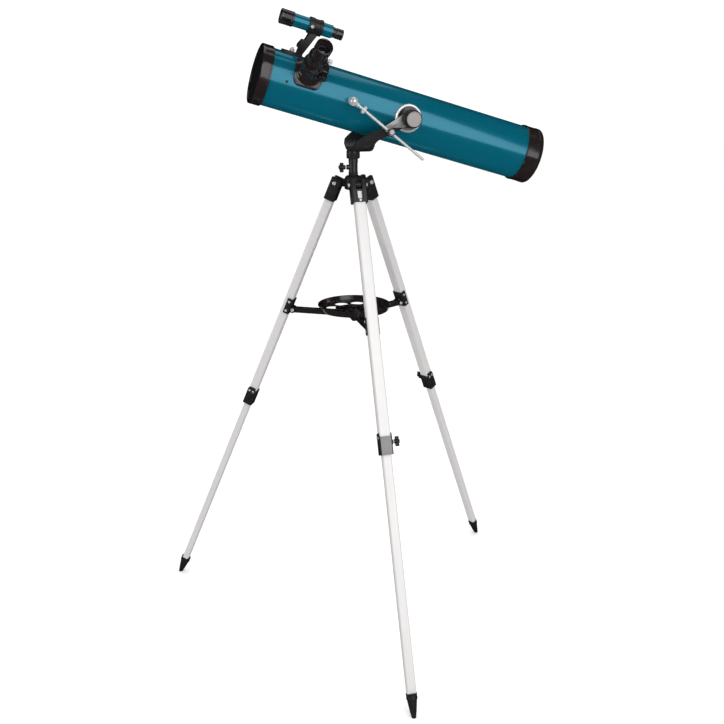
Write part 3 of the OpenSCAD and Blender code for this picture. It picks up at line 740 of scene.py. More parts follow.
@dataclass(frozen=True)
class StudioFloor:
    """The pale sweep that the telescope stands on."""

    name: str = "pale_sweep"
    colour: tuple = (0.955, 0.955, 0.955)

    def make(self) -> bpy.types.Material:
        """Builds the material."""
        g = Graph(self.name)
        cloud = g.noise(g.where(), 1.5, 2.0)
        return g.finish(Base_Color=g.blend(cloud, self.colour, (0.97, 0.97, 0.97)), Roughness=0.85,
                Specular_IOR_Level=0.1)


TELESCOPE_TUBE = place_at(joint_at("altitude"), Vector(MOUNTS["dust_cap_seat"]["axis"]),
        Vector((0, 1, 0)).cross(Vector(MOUNTS["dust_cap_seat"]["axis"])))

PLASTIC = Plastic("satin_black_plastic").make()
GLOSSY = Plastic("glossy_black_plastic", (0.014, 0.010, 0.0105), (0.14, 0.26), 700.0, 0.06, 0.9).make()
RUBBER = Plastic("soft_black_rubber", (0.011, 0.011, 0.011), (0.50, 0.66), 1300.0, 0.3).make()
TEAL = MetallicPaint(turn=TELESCOPE_TUBE).make()
CHROME = Chrome().make()
DULL_STEEL = Chrome("plated_steel", (0.42, 0.42, 0.43), (0.20, 0.36)).make()
DARK_STEEL = Chrome("blackened_steel", (0.05, 0.055, 0.06), (0.22, 0.34), 0.5).make()
MATT = MattBlack().make()
MIRROR = Mirror().make()
GLASS = Glass().make()


@dataclass
class Assembly:
    """A sub-assembly: where it sits, and how its finished pieces are handed to the frame."""

    place: Matrix

    def hand_over(self, piece: Piece, body: str, slot: Slot, finishes: Sequence[bpy.types.Material],
            replaces: Iterable[str] = (), smooth: float = 32) -> Piece:
        """Settles a piece, dresses it and lets it ride on its body.

        Args:
            piece: The piece, in millimetres in this place.
            body: The body that it moves with.
            slot: The record's material slot; not used.
            finishes: One material for each of the mesh's material slots.
            replaces: The frame's nodes that it stands for.
            smooth: Edges sharper than this angle stay sharp.

        Returns:
            The finished piece.
        """
        BENCH.settle(piece, self.place, smooth)
        shades = [polygon.material_index for polygon in piece.data.polygons]
        piece.data.materials.clear()
        for finish in finishes:
            piece.data.materials.append(finish)
        if len(finishes) > 1:
            for polygon, shade in zip(piece.data.polygons, shades):
                polygon.material_index = shade
        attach(piece, body)
        if replaces:
            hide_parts(*replaces)
        LOG.info("%s: %d faces on %s", piece.name, len(piece.data.polygons), body)
        return piece


def tube_cutter(radius: float, half: float = 420) -> Piece:
    """Makes a long round cutter along the tube's axis."""
    BENCH.clear()
    bpy.ops.mesh.primitive_cylinder_add(vertices=128, radius=radius, depth=2 * half)
    return bpy.context.object


def hole_cutter(radius: float, low: float, high: float, turn: Turn = Turn.UPRIGHT, at: tuple = (0, 0, 0),
        sides: int = 48) -> Piece:
    """Makes a round cutter from one height to another."""
    return BENCH.turned("cutter", post(radius, low, high), sides, turn, at)


def drill(piece: Piece, radius: float, low: float, high: float, turn: Turn = Turn.UPRIGHT,
        at: tuple = (0, 0, 0), sides: int = 48) -> Piece:
    """Cuts a round hole from one height to another."""
    return BENCH.carve(piece, hole_cutter(radius, low, high, turn, at, sides))


@dataclass
class OpticalTube(Assembly):
    """The main tube with its caps, mirrors and spider. Its Z runs to the front."""

    radius: float = TUBE_RADIUS
    wall: float = 1.2
    front: float = 334.0
    rear: float = 330.0
    cap_radius: float = 63.35
    cap_lip: float = 3.0
    front_cap: float = 24.0
    rear_cap: float = 38.0
    mirror_radius: float = 52.0
    mirror_front: float = -298.0
    focuser_z: float = FOCUSER_Z
    focuser_roll: float = math.radians(-60)
    hole: float = 19.5
    spider_z: float = 274.0

    def build(self) -> None:
        """Builds and dresses every piece of the tube."""
        self.shell()
        self.caps()
        self.mirror()
        self.screws()
        self.carried_over()

    def shell(self) -> None:
        """Makes the painted tube with the focuser's hole, black inside."""
        BENCH.clear()
        low, high = -self.rear + self.cap_lip, self.front - self.cap_lip
        bpy.ops.mesh.primitive_cylinder_add(vertices=160, radius=self.radius, depth=high - low,
                end_fill_type="NOTHING", location=(0, 0, 0))
        piece = bpy.context.object
        piece.name = "tube_shell"
        piece.data.transform(shift(0, 0, (low + high) / 2))
        wall = piece.modifiers.new("wall", "SOLIDIFY")
        wall.thickness, wall.offset = self.wall, -1
        wall.material_offset, wall.material_offset_rim = 1, 1
        piece.data.materials.append(TEAL)
        piece.data.materials.append(MATT)
        BENCH.take(piece)
        bpy.ops.object.modifier_apply(modifier=wall.name)
        cutter = hole_cutter(self.hole, 40, 80, Turn.ALONG_X, (0, 0, self.focuser_z))
        slot = BENCH.block("slot", (40, RACK_SLOT, 21.8), (60, 0, self.focuser_z - 10.9), 0)
        for tool in (cutter, slot):
            BENCH.carve(piece, BENCH.put(tool, Matrix.Rotation(self.focuser_roll, 4, "Z")))
        self.hand_over(piece, "tube", Slot.TEAL, (TEAL, MATT), ("optical_tube",))

    def caps(self) -> None:
        """Makes the open front ring and the closed rear cap."""
        outer, inner, front = self.cap_radius, self.radius + 0.05, self.front
        back = front - self.front_cap
        lip = self.radius - self.cap_lip
        ring = closed((inner, back), *near(outer, back, (-0.5, 0), (-0.1, 0.5), (-0.1, 3.0), (-0.5, 3.4),
                (-0.5, 4.2), (-0.1, 4.7)), *near(outer, front, (-0.1, -7.5), (0, -7.0), (0, -1.2),
                (-0.35, -0.35), (-1.2, 0)), *near(lip, front, (1.3, 0), (0.3, -0.4), (0, -1.2), (0, -2.9)),
                (inner, front - 2.95))
        piece = BENCH.turned("front_cap_ring", ring, 160)
        self.hand_over(piece, "tube", Slot.CAP, (GLOSSY,), ("front_cap",))
        tail, mouth = -self.rear, -self.rear + self.rear_cap
        cup = [*near(0, tail, (0, 1.2), (44, 1.2), (45, 0)), *near(outer, tail, (-2.4, 0), (-0.7, 0.7),
                (0, 2.4), (0, 9), (-0.6, 9.6)), *near(outer, mouth, (-0.6, -5), (0, -4.4), (0, -0.8),
                (-0.8, 0)), (inner, mouth), (inner, tail + 2.95), (0, tail + 2.95)]
        piece = BENCH.turned("rear_cap_cup", cup, 160)
        self.hand_over(piece, "tube", Slot.CAP, (GLOSSY,), ("rear_cap",))

    def mirror(self) -> None:
        """Makes the main mirror with its hollow face."""
        face = self.mirror_front
        bowl = [(self.mirror_radius * i / 8, face - 1.2 * (1 - (i / 8) ** 2)) for i in range(8, -1, -1)]
        disc = [(0, face - 12), *near(self.mirror_radius, face, (-0.6, -12), (0, -11.4), (0, -0.5)),
                *bowl[1:]]
        piece = BENCH.turned("main_mirror", disc, 96)
        self.hand_over(piece, "tube", Slot.MIRROR, (MIRROR,), ("primary_mirror",))

    def screws(self) -> None:
        """Makes the spider's screws and the mirror's thumb screws."""
        head = BENCH.turned("spider_screw", [(0, -4.5), (1.5, -4.5), (1.5, 0.1), (2.9, 0.1), (2.9, 0.7),
                (2.2, 1.6), (0.9, 1.95), (0, 2.0)], 24, Turn.ALONG_X,
                (self.radius + 0.05, 0, self.spider_z + 1))
        for size in ((1.4, 3.6, 0.6), (1.4, 0.6, 3.6)):
            slit = BENCH.block("slit", size, (self.radius + 2.1, 0, self.spider_z + 1), 0)
            BENCH.carve(head, slit)
        BENCH.put(head, spin(-90))
        piece = BENCH.joined("spider_screws", BENCH.round_copies(head, 3))
        self.hand_over(piece, "tube", Slot.CHROME, (DARK_STEEL,), ("tube_screws",))
        grip = BENCH.ribbed("grip", 6.0, 0.6, 14, -self.rear - 9, -self.rear - 1, 0.5, Turn.UPRIGHT,
                (self.mirror_radius - 12, 0, 0))
        stem = BENCH.turned("stem", [(0, -self.rear - 9.0), (2.5, -self.rear - 8.9), (2.5, -312),
                (0, -312)], 24, Turn.UPRIGHT, (self.mirror_radius - 12, 0, 0))
        thumb = BENCH.joined("mirror_screw", [grip, stem])
        piece = BENCH.joined("mirror_screws", BENCH.round_copies(thumb, 3))
        self.hand_over(piece, "tube", Slot.CHROME, (CHROME,), ("collimation_screws",))

    def carried_over(self) -> None:
        """Dresses the frame's own nodes inside the tube."""
        for name, finish in (("mirror_cell", MATT), ("secondary_holder", MATT), ("spider", MATT),
                ("secondary_mirror", MIRROR)):
            dress_node(name, finish)


def dress_node(name: str, finish: bpy.types.Material) -> None:
    """Gives a node of the frame its finish."""
    mesh = frame["nodes"][name].data
    mesh.materials.clear()
    mesh.materials.append(finish)


@dataclass
class Focuser(Assembly):
    """The rack and pinion focuser. Its X runs out of the tube and its Z to the front."""

    tube_radius: float = TUBE_BORE
    saddle: float = 4.0
    neck_radius: float = 22.5
    neck_top: float = 100.0
    draw_radius: float = 18.5
    draw_bottom: float = 52.3
    draw_top: float = 128.0
    collar_radius: float = 20.5
    collar: float = 15.0
    barrel: float = 15.87
    eyecup: float = 18.2
    pinion_x: float = 84.0
    pinion_z: float = 25.5
    housing: float = 22.0
    knob: float = 9.0

    def __post_init__(self) -> None:
        """Works out where the pinion's axis is."""
        self.pinion = (self.pinion_x, 0, -self.pinion_z)

    def build(self) -> None:
        """Builds and dresses every piece of the focuser."""
        self.base()
        self.draw_tube()
        self.knobs()
        self.eyepiece()
        self.clamp_screw()

    def base(self) -> None:
        """Makes the saddle, the flared neck and the pinion housing."""
        outline = round_rect(60, 64, 14, 6)
        saddle = BENCH.outline("saddle", outline, 30, 90)
        BENCH.put(saddle, SIDE_ON)
        BENCH.carve(saddle, tube_cutter(self.tube_radius + self.saddle - 0.05), "INTERSECT")
        top = self.neck_top
        flare = [(0, 40), (29.5, 40), (29.5, 62), (28.8, 64.2), *arc((30.5, 74), 8.0, 238, 180, 6),
                (self.neck_radius, 76), (self.neck_radius, top - 6), (23.2, top - 5.4), (23.2, top - 0.8),
                (22.4, top), (0, top)]
        neck = BENCH.turned("neck", flare, 72, Turn.ALONG_X)
        BENCH.carve(saddle, neck, "UNION")
        BENCH.soften(saddle, 1.0, 42)
        box = BENCH.block("pinion_box", (25, self.housing, 16), (self.pinion_x, 0, -self.pinion_z + 0.6), 2.2)
        cover = BENCH.block("pinion_cover", (19, self.housing - 6, 3),
                (self.pinion_x, 0, -self.pinion_z - 7.4), 0.9)
        bosses = [BENCH.turned("boss", [(0, 0), (5.2, 0), (5.2, 1.2), (4.4, 1.9), (0, 1.9)], 32, turn,
                (self.pinion_x, side * self.housing / 2, -self.pinion_z)) for side, turn in SIDES]
        for part in (box, cover, *bosses):
            BENCH.carve(saddle, part, "UNION")
        for turn in (Turn.ALONG_Y, Turn.AGAINST_Y):
            pocket = hole_cutter(self.knob + 1, self.housing / 2 + 1, 40, turn, self.pinion)
            BENCH.carve(saddle, pocket)
        BENCH.carve(saddle, tube_cutter(self.tube_radius))
        drill(saddle, self.draw_radius + FIT, 30, 110, Turn.ALONG_X, sides=72)
        channel = BENCH.block("channel", (80, RACK_SLOT, 22), (90, 0, -11.2), 0)
        BENCH.carve(saddle, channel)
        chamber = BENCH.turned("chamber", post(6.2, -4.5, 4.5), 32, Turn.ALONG_Y, self.pinion)
        BENCH.carve(saddle, chamber)
        shaft = hole_cutter(2.15, -20, 20, Turn.ALONG_Y, self.pinion, 24)
        BENCH.carve(saddle, shaft)
        saddle.name = "focuser_saddle"
        self.hand_over(saddle, "tube", Slot.PLASTIC, (GLOSSY,), ("focuser_base",), 38)

    def draw_tube(self) -> None:
        """Makes the sliding tube with its collar and rack."""
        radius, low, top = self.draw_radius, self.draw_bottom, self.draw_top
        bore, shoulder = self.barrel + FIT, self.draw_top - self.collar
        profile = closed((bore, low), (radius - 0.4, low), (radius, low + 0.4), (radius, shoulder),
                *near(self.collar_radius, shoulder, (-0.8, 0), (0, 0.8), (0, 3.6), (-0.7, 4.2)),
                *near(self.collar_radius, top, (-0.7, -4.2), (0, -3.6), (0, -0.8), (-0.8, 0)), (bore, top))
        tube = BENCH.turned("draw_tube", profile, 72, Turn.ALONG_X)
        hole = hole_cutter(2.6, 5, 40, Turn.UPRIGHT, (0, 0, 0), 24)
        BENCH.put(hole, shift(top - self.collar / 2, 0, 0) @ spin(180, "X"))
        BENCH.carve(tube, hole)
        rack = BENCH.block("rack", (48, 7, 1.6), (88.8, 0, -18.9), 0.1)
        pitch = math.pi * 0.8
        tooth = BENCH.outline("tooth", [(-0.75, 0.2), (0.75, 0.2), (0.2, -1.8), (-0.2, -1.8)], -3.5, 3.5,
                Turn.AGAINST_Y)
        teeth = []
        for i in range(-6, 10):
            twin = BENCH.copy(tooth, "tooth")
            flip = shift(self.pinion_x + (i + 0.5) * pitch, 0, -19.7)
            teeth.append(BENCH.put(twin, flip))
        bpy.data.objects.remove(tooth)
        piece = BENCH.joined("draw_tube", [tube, rack, *teeth])
        self.hand_over(piece, "focus_tube", Slot.PLASTIC, (GLOSSY,), ("drawtube",))

    def knobs(self) -> None:
        """Makes the two focus knobs and dresses the pinion."""
        reach = self.housing / 2 + 2
        grip = BENCH.ribbed("grip", 9.0, 0.8, 20, reach, reach + 9.2, 0.6, Turn.ALONG_Y)
        face = BENCH.turned("face", [(0, 9.0), (6.6, 9.0), (6.6, 9.7), (5.9, 10.0), (3.4, 10.0), (2.9, 9.6),
                (0, 9.6)], 40, Turn.ALONG_Y, (0, reach, 0))
        knob = BENCH.joined("knob", [grip, face])
        twin = BENCH.put(BENCH.copy(knob, "knob"), spin(180))
        piece = BENCH.joined("focus_knob_pair", [knob, twin])
        BENCH.put(piece, shift(*self.pinion))
        self.hand_over(piece, "pinion", Slot.PLASTIC, (GLOSSY,), ("focus_knobs",))
        dress_node("pinion_shaft", CHROME)

    def eyepiece(self) -> None:
        """Makes the eyepiece: barrel, body, rubber eyecup and eye lens."""
        top, barrel = self.draw_top, self.barrel
        metal = closed(*near(barrel, top, (-2, -30), (-0.3, -30), (0, -29.7), (0, 0.4), (-2, 0.4)))
        piece = BENCH.turned("eyepiece_barrel", metal, 64, Turn.ALONG_X)
        self.hand_over(piece, "ocular", Slot.CHROME, (CHROME,))
        body = closed(*near(barrel, top, (-4, 0.4), (0.7, 0.4), (1.5, 1.2), (1.5, 5), (0.6, 6), (0.6, 7.2),
                (1.5, 8.2), (1.5, 10), (0.6, 11), (0.6, 12.2), (1.5, 13.2), (1.5, 20.8), (-0.8, 21.4),
                (-0.8, 27), (-4, 27.4)))
        piece = BENCH.turned("eyepiece_body", body, 64, Turn.ALONG_X)
        self.hand_over(piece, "ocular", Slot.PLASTIC, (GLOSSY,), ("eyepiece",))
        cup = closed((barrel - 0.7, top + 21.3), *near(self.eyecup, top, (-0.9, 21.3), (0, 22.3), (0, 27.5),
                (-0.8, 28.4), (-0.8, 30), (0, 31), (0, 36.6), (-0.5, 37.7), (-1.6, 38), (-2.9, 37.2),
                (-3.4, 35)), *near(barrel, top, (-2.2, 29.5), (-3.9, 27.5), (-0.7, 27.1)))
        piece = BENCH.turned("eyecup", cup, 64, Turn.ALONG_X)
        self.hand_over(piece, "ocular", Slot.PLASTIC, (GLOSSY,))
        dome = [(0, top + 18), (barrel - 4.05, top + 18), (barrel - 4.05, top + 25.0),
                *near(0, top, (8.5, 26.2), (4.5, 27.0), (0, 27.2))]
        piece = BENCH.turned("eye_lens", dome, 48, Turn.ALONG_X)
        self.hand_over(piece, "ocular", Slot.LENS, (GLASS,), ("eyepiece_lens",))

    def clamp_screw(self) -> None:
        """Makes the thumb screw that holds the eyepiece."""
        start, reach = self.barrel + 0.3, self.collar_radius
        stem = BENCH.turned("stem", [(0, start), (2.1, start), (2.5, start + 0.5), (2.5, reach + 3.2),
                (0, reach + 3.2)], 24)
        grip = BENCH.ribbed("grip", 5.0, 0.5, 14, reach + 3, reach + 10.4, 0.4)
        nose = BENCH.turned("nose", near(0, reach, (0, 10.2), (3.4, 10.2), (3.0, 10.9), (0, 11.0)), 24)
        piece = BENCH.joined("eyepiece_thumb_screw", [stem, grip, nose])
        BENCH.put(piece, shift(self.draw_top - self.collar / 2, 0, 0) @ spin(180, "X"))
        self.hand_over(piece, "eyepiece_lock", Slot.CHROME, (CHROME,), ("eyepiece_clamp_screw",))


@dataclass
class Finder(Assembly):
    """The finder on its bracket. Its Z runs to the front and its X away from the main tube."""

    offset: float = 126.0
    radius: float = 13.5
    front: float = 315.0
    length: float = 137.0
    ring_z: float = 239.0
    ring: float = 30.0
    tube_radius: float = TUBE_BORE

    def build(self) -> None:
        """Builds and dresses every piece of the finder."""
        self.barrel()
        self.objective()
        self.ocular()
        self.bracket()
        self.fixings()

    def turned(self, name: str, profile: Sequence[Point], segments: int) -> Piece:
        """Turns a profile round the finder's own axis."""
        return BENCH.turned(name, profile, segments, Turn.UPRIGHT, (self.offset, 0, 0))

    def barrel(self) -> None:
        """Makes the painted tube."""
        low, high, radius = self.front - self.length + 24, self.front - 25, self.radius
        profile = closed(*near(radius, low, (-1.2, 0), (-0.3, 0), (0, 0.3)), (radius, high),
                (radius - 1.2, high))
        piece = self.turned("finder_barrel", profile, 64)
        self.hand_over(piece, "tube", Slot.TEAL, (TEAL,), ("finder_tube",))

    def objective(self) -> None:
        """Makes the ribbed objective housing and its lens."""
        radius, front = self.radius + 2, self.front
        low = front - 28
        profile = [(self.radius + 0.05, low), *near(radius, low, (-0.8, 0), (-0.1, 0.7), (-0.1, 4))]
        for i in range(7):
            z = low + 5 + i * 2.6
            profile += near(radius, z, (-0.9, 0), (-0.9, 0.7), (-0.1, 1.0), (-0.1, 2.2))
        profile += [*near(radius, front, (0, -4), (0, -1), (-0.9, 0)),
                *near(self.radius, front, (-0.2, 0), (-1.2, -1.2), (-1.5, -4), (-1.5, -24.9),
                (0.05, -24.95)), (self.radius + 0.05, low)]
        piece = self.turned("finder_objective_housing", profile, 64)
        self.hand_over(piece, "tube", Slot.PLASTIC, (GLOSSY,), ("finder_objective_cell",), 28)
        rim = self.radius - 1.55
        dome = [(0, front - 12), (rim, front - 12), (rim, front - 9.4),
                *near(0, front, (9, -8.7), (5, -8.2), (0, -8.0))]
        piece = self.turned("finder_objective_glass", dome, 48)
        self.hand_over(piece, "tube", Slot.LENS, (GLASS,), ("finder_lens",))

    def ocular(self) -> None:
        """Makes the turning eyepiece."""
        rear, radius = self.front - self.length, self.radius - 2.5
        profile = closed(*near(radius, rear, (-3, 2), (-2.4, 0.3), (-0.8, 0), (0, 0.8), (0, 4), (-0.7, 4.6),
                (-0.7, 5.6), (0, 6.2), (0, 15), (-0.8, 16), (-0.8, 18), (0, 19), (0, 23.6)),
                (self.radius - 1.3, rear + 23.7), (self.radius - 1.3, rear + 44), (radius - 3, rear + 44))
        body = self.turned("body", profile, 64)
        lens = self.turned("finder_eye_glass", [(0, rear + 5), (radius - 3.05, rear + 5),
                (radius - 3.05, rear + 3.4), (4, rear + 2.8), (0, rear + 2.6)], 40)
        body.name = "finder_ocular_body"
        self.hand_over(body, "finder_ocular", Slot.PLASTIC, (GLOSSY,), ("finder_eyepiece",), 28)
        self.hand_over(lens, "finder_ocular", Slot.LENS, (GLASS,))

    def bracket(self) -> None:
        """Makes the ring, the slanted stalk and the curved foot."""
        outer, half = self.radius + 3.5, self.ring / 2
        bore = self.radius + 0.05
        profile = closed((bore, -half), *near(outer, -half, (-0.9, 0), (0, 0.9), (0, 6), (-1.2, 7)),
                *near(outer, half, (-1.2, -12), (0, -11), (0, -0.9), (-0.9, 0)), (bore, half))
        ring = BENCH.turned("ring", profile, 64, Turn.UPRIGHT, (self.offset, 0, self.ring_z))
        foot_z, base = self.ring_z + 34, TUBE_RADIUS
        side = [*near(base, foot_z, (1, -22), (1, -10), (16, -12), (16, -8), (22, -8), (34, -14),
                (34, -20)), (self.offset - self.radius - 1, self.ring_z + 9),
                (self.offset - self.radius - 1, self.ring_z - 9)]
        stalk = BENCH.outline("stalk", side, -7.6, 7.6, Turn.AGAINST_Y)
        BENCH.soften(stalk, 1.2, 20)
        foot = BENCH.outline("foot", round_rect(44, 28, 6, 5), 40, 90)
        BENCH.put(foot, shift(0, 0, foot_z - 2) @ SIDE_ON)
        BENCH.carve(foot, tube_cutter(self.tube_radius + 3.9), "INTERSECT")
        BENCH.soften(foot, 0.8, 40)
        BENCH.carve(foot, stalk, "UNION")
        BENCH.carve(foot, tube_cutter(self.tube_radius))
        piece = BENCH.joined("finder_mount", [ring, foot])
        self.hand_over(piece, "tube", Slot.PLASTIC, (PLASTIC,), ("finder_bracket",), 30)

    def fixings(self) -> None:
        """Makes the foot's thumb nut and the ring's set screw."""
        base, nut_z = 64.35, self.ring_z + 33
        grip = BENCH.ribbed("grip", 5.5, 0.5, 14, 0.2, 5.6, 0.4, Turn.ALONG_X, (base, 0, nut_z))
        neck = BENCH.turned("neck", [(0, 0.05), (3.4, 0.05), (3.4, 6.4), (2.5, 7.0), (0, 7.1)], 24,
                Turn.ALONG_X, (base, 0, nut_z))
        stud = BENCH.turned("stud", [(0, -3.9), (2.5, -3.9), (2.5, 8.3), (2.0, 8.8), (0, 8.8)], 24,
                Turn.ALONG_X, (base - 0.1, 0, nut_z))
        spot = (self.offset, -self.radius, self.ring_z + self.ring / 2 - 6)
        screw = BENCH.turned("screw", [(0, 0.1), (1.5, 0.1), (1.5, 4.2), (3.4, 4.3), (3.4, 8.4), (2.9, 8.9),
                (0, 8.9)], 24, Turn.AGAINST_Y, spot)
        piece = BENCH.joined("finder_thumb_nuts", [grip, neck, stud, screw])
        self.hand_over(piece, "tube", Slot.CHROME, (CHROME,), ("finder_nuts",))


@dataclass
class Fork(Assembly):
    """The fork on its stem, with the trunnions, knobs and azimuth lock. Its origin is the column's foot."""

    hub_z: float = 1066.0
    stem_radius: float = 10.5
    stem: float = 52.0
    inner: float = 67.0
    thickness: float = 5.0
    trunnion_x: float = 108.0
    tube_radius: float = TUBE_BORE
    knob_radius: float = 20.0
    knob: float = 32.0
    bolt: float = 5.0
    disc: float = 30.0

    def __post_init__(self) -> None:
        """Works out the heights that follow from the others."""
        self.bottom = self.hub_z + self.stem
        self.outer = self.inner + self.thickness
        self.arch_z = self.bottom + self.outer
        self.trunnion_z = self.arch_z + 1.5
        self.centre = (self.trunnion_x, 0, self.trunnion_z)
        self.lock_at = (0, 0, self.hub_z + 19)

    def build(self) -> None:
        """Builds and dresses every piece of the fork."""
        self.band()
        self.trunnions()
        self.altitude_knobs()
        self.azimuth_lock()

    def side(self) -> list[Point]:
        """Gives the fork's outline as seen from the side."""
        low, x, z = self.bottom, self.trunnion_x, self.trunnion_z
        return [(-8, low - 2), *arc((30, low + 6), 8, -80, 0, 4),
                *near(0, low, (37, 20), (41, 26), (48, 31)), (x - 18, z - 22),
                *arc((x, z), 17, -60, 150, 20), *near(0, z, (57, -13), (44, -22), (28, -27.5), (14, -33),
                (4, -40), (-6, -48), (-10, -58)), (-10, low + 2)]

    def band(self) -> None:
        """Makes the cast band, its stem and bosses."""
        top = self.arch_z + 40
        section = [(self.outer, top), (self.inner, top), *arc((0, self.arch_z), self.inner, 0, -180, 40),
                (-self.inner, top), (-self.outer, top), *arc((0, self.arch_z), self.outer, -180, 0, 40)]
        band = BENCH.outline("fork_band", section, -30, self.trunnion_x + 30)
        BENCH.put(band, Matrix(((0, 0, 1, 0), (1, 0, 0, 0), (0, 1, 0, 0), (0, 0, 0, 1))))
        trim = BENCH.outline("trim", self.side(), -self.outer - 5, self.outer + 5, Turn.AGAINST_Y)
        BENCH.carve(band, trim, "INTERSECT")
        BENCH.soften(band, 1.3, 40, 3)
        hub, low, stem = self.hub_z, self.bottom, self.stem_radius
        column = [(0, hub + 0.3), *near(stem, hub, (-0.4, 0.3), (0, 0.9), (0, 8), (-0.6, 8.7), (-0.6, 28),
                (0, 28.7)), *near(stem, low, (0, -15), (3.8, -13.6), (4.5, -12), (4.5, 2.2)),
                (0, low + 2.2)]
        BENCH.carve(band, BENCH.turned("stem", column, 56), "UNION")
        boss = BENCH.turned("boss", [(0, 0), (5.5, 0), *near(0, stem, (5.5, 4.2), (4.7, 5), (0, 5))], 32,
                Turn.AGAINST_X, self.lock_at)
        BENCH.carve(band, boss, "UNION")
        drill(band, 2.6, 4, 30, Turn.AGAINST_X, self.lock_at, 24)
        drill(band, 6.56, hub - 4, low - 8, sides=40)
        bolt = hole_cutter(self.bolt + FIT, -90, 90, Turn.ALONG_Y, self.centre, 40)
        BENCH.carve(band, bolt)
        reach = self.tube_radius + 4.45
        recess = hole_cutter(self.disc + 1, -reach, reach, Turn.ALONG_Y, self.centre, 72)
        BENCH.carve(band, recess)
        band.name = "fork_casting"
        # The casting's finish paints a patch of sheen and wear on the arms' outer faces.
        self.hand_over(band, "fork", Slot.CASTING, (WornCastingWithPaintedSheen("worn_casting_painted_sheen", self.place).make(),),
                ("yoke",), 34)

    def trunnions(self) -> None:
        """Makes the two round trunnion plates: a bright rim round a dark boss."""
        face = self.tube_radius + 3.6
        rims, bosses = [], []
        for turn in (Turn.ALONG_Y, Turn.AGAINST_Y):
            rim = BENCH.turned("rim", [(0, 46), (self.disc - 0.8, 46), (self.disc, 47),
                    *near(self.disc, face, (0, -1.6), (-1.4, -0.2), (-3.6, 0), (-5, -0.8)),
                    (0, face - 0.8)], 72, turn, self.centre)
            cutter = tube_cutter(self.tube_radius, 200)
            BENCH.put(cutter, Matrix.Translation(self.centre)
                    @ (self.place.inverted() @ TELESCOPE_TUBE).to_3x3().to_4x4())
            BENCH.carve(rim, cutter)
            rims.append(rim)
            bosses.append(BENCH.turned("boss",
                    [(0, face - 3), *near(self.disc, face, (-6, -3), (-6, -0.4), (-7, 0.3)),
                    (18, face + 0.3), (16, face + 0.9), *near(0, self.inner, (16, -0.7), (15.4, -0.35),
                    (0, -0.35))], 56, turn, self.centre))
        piece = BENCH.joined("trunnion_rims", rims)
        self.hand_over(piece, "tube", Slot.CHROME, (CHROME,), ("trunnion_plates",))
        piece = BENCH.joined("trunnion_bosses", bosses)
        self.hand_over(piece, "tube", Slot.PLASTIC, (GLOSSY,))

    def altitude_knobs(self) -> None:
        """Makes the two ribbed altitude knobs with turned discs on their ends."""
        pivot = joint_at("near_knob_turn")
        for name, turn, node, body in (("near", Turn.AGAINST_Y, "altitude_knob_near", "near_knob"),
                ("far", Turn.ALONG_Y, "altitude_knob_far", "far_knob")):
            start, end = self.outer, self.outer + self.knob
            radius = self.knob_radius
            skirt = BENCH.turned("skirt", [(0, start + 0.6), *near(radius, start, (-3, 0.6), (-3, 4),
                    (-1.4, 4.2), (-1.4, 6.4), (-2, 7)), (0, start + 7)], 56, turn, self.centre)
            grip = BENCH.ribbed("grip", radius, 1.1, 26, start + 6, end - 6.5, 0.6, turn, self.centre)
            nose = BENCH.turned("nose", [(0, end - 8), *near(radius, end, (-1.5, -8), (-1.5, -3.6),
                    (-2.2, -2), (-3.2, -1.2), (-3.8, -1.8)), (0, end - 1.8)], 56, turn, self.centre)
            bolt = BENCH.turned("bolt", post(self.bolt, self.tube_radius + 1, start + 3), 32, turn,
                    self.centre)
            piece = BENCH.joined(f"{name}_altitude_knob", [grip, skirt, nose, bolt])
            self.hand_over(piece, body, Slot.PLASTIC, (PLASTIC,), (node,))
            disc = BENCH.turned(f"{name}_knob_disc", [(0, end - 1.9),
                    *near(radius, end, (-3.9, -1.9), (-3.9, -0.5), (-4.4, 0), (-5.4, -0.15), (-5.8, -0.5)),
                    (0, end - 0.5)], 56, turn, self.centre)
            rings = place_at(pivot, Vector((0, 1, 0)), Vector((1, 0, 0)))
            self.hand_over(disc, body, Slot.CHROME, (BrushedDisc(f"{name}_disc_metal", rings).make(),))

    def azimuth_lock(self) -> None:
        """Makes the three-winged lock knob with its screw."""
        reach = self.stem_radius
        hub = BENCH.turned("hub", near(0, reach, (0, 8), (4.4, 8), (5, 8.8), (5, 21), (4.2, 22), (0, 22)), 32)
        wing = BENCH.outline("wing", [(-2.4, 2), (2.4, 2), (2.9, 8), *arc((0, 8.8), 3.0, 0, 180, 8),
                (-2.9, 8)], reach + 13, reach + 21)
        BENCH.soften(wing, 0.9, 30)
        screw = BENCH.turned("lock_screw", [(0, 6.9), (2.1, 6.9), (2.5, 7.4), (2.5, reach + 12),
                (0, reach + 12)], 24, Turn.AGAINST_X, self.lock_at)
        piece = BENCH.joined("azimuth_wing_knob", [hub, *BENCH.round_copies(wing, 3)])
        BENCH.lay(piece, Turn.AGAINST_X, self.lock_at)
        self.hand_over(piece, "azimuth_lock", Slot.PLASTIC, (PLASTIC,), ("azimuth_knob",))
        self.hand_over(screw, "azimuth_lock", Slot.CHROME, (CHROME,))


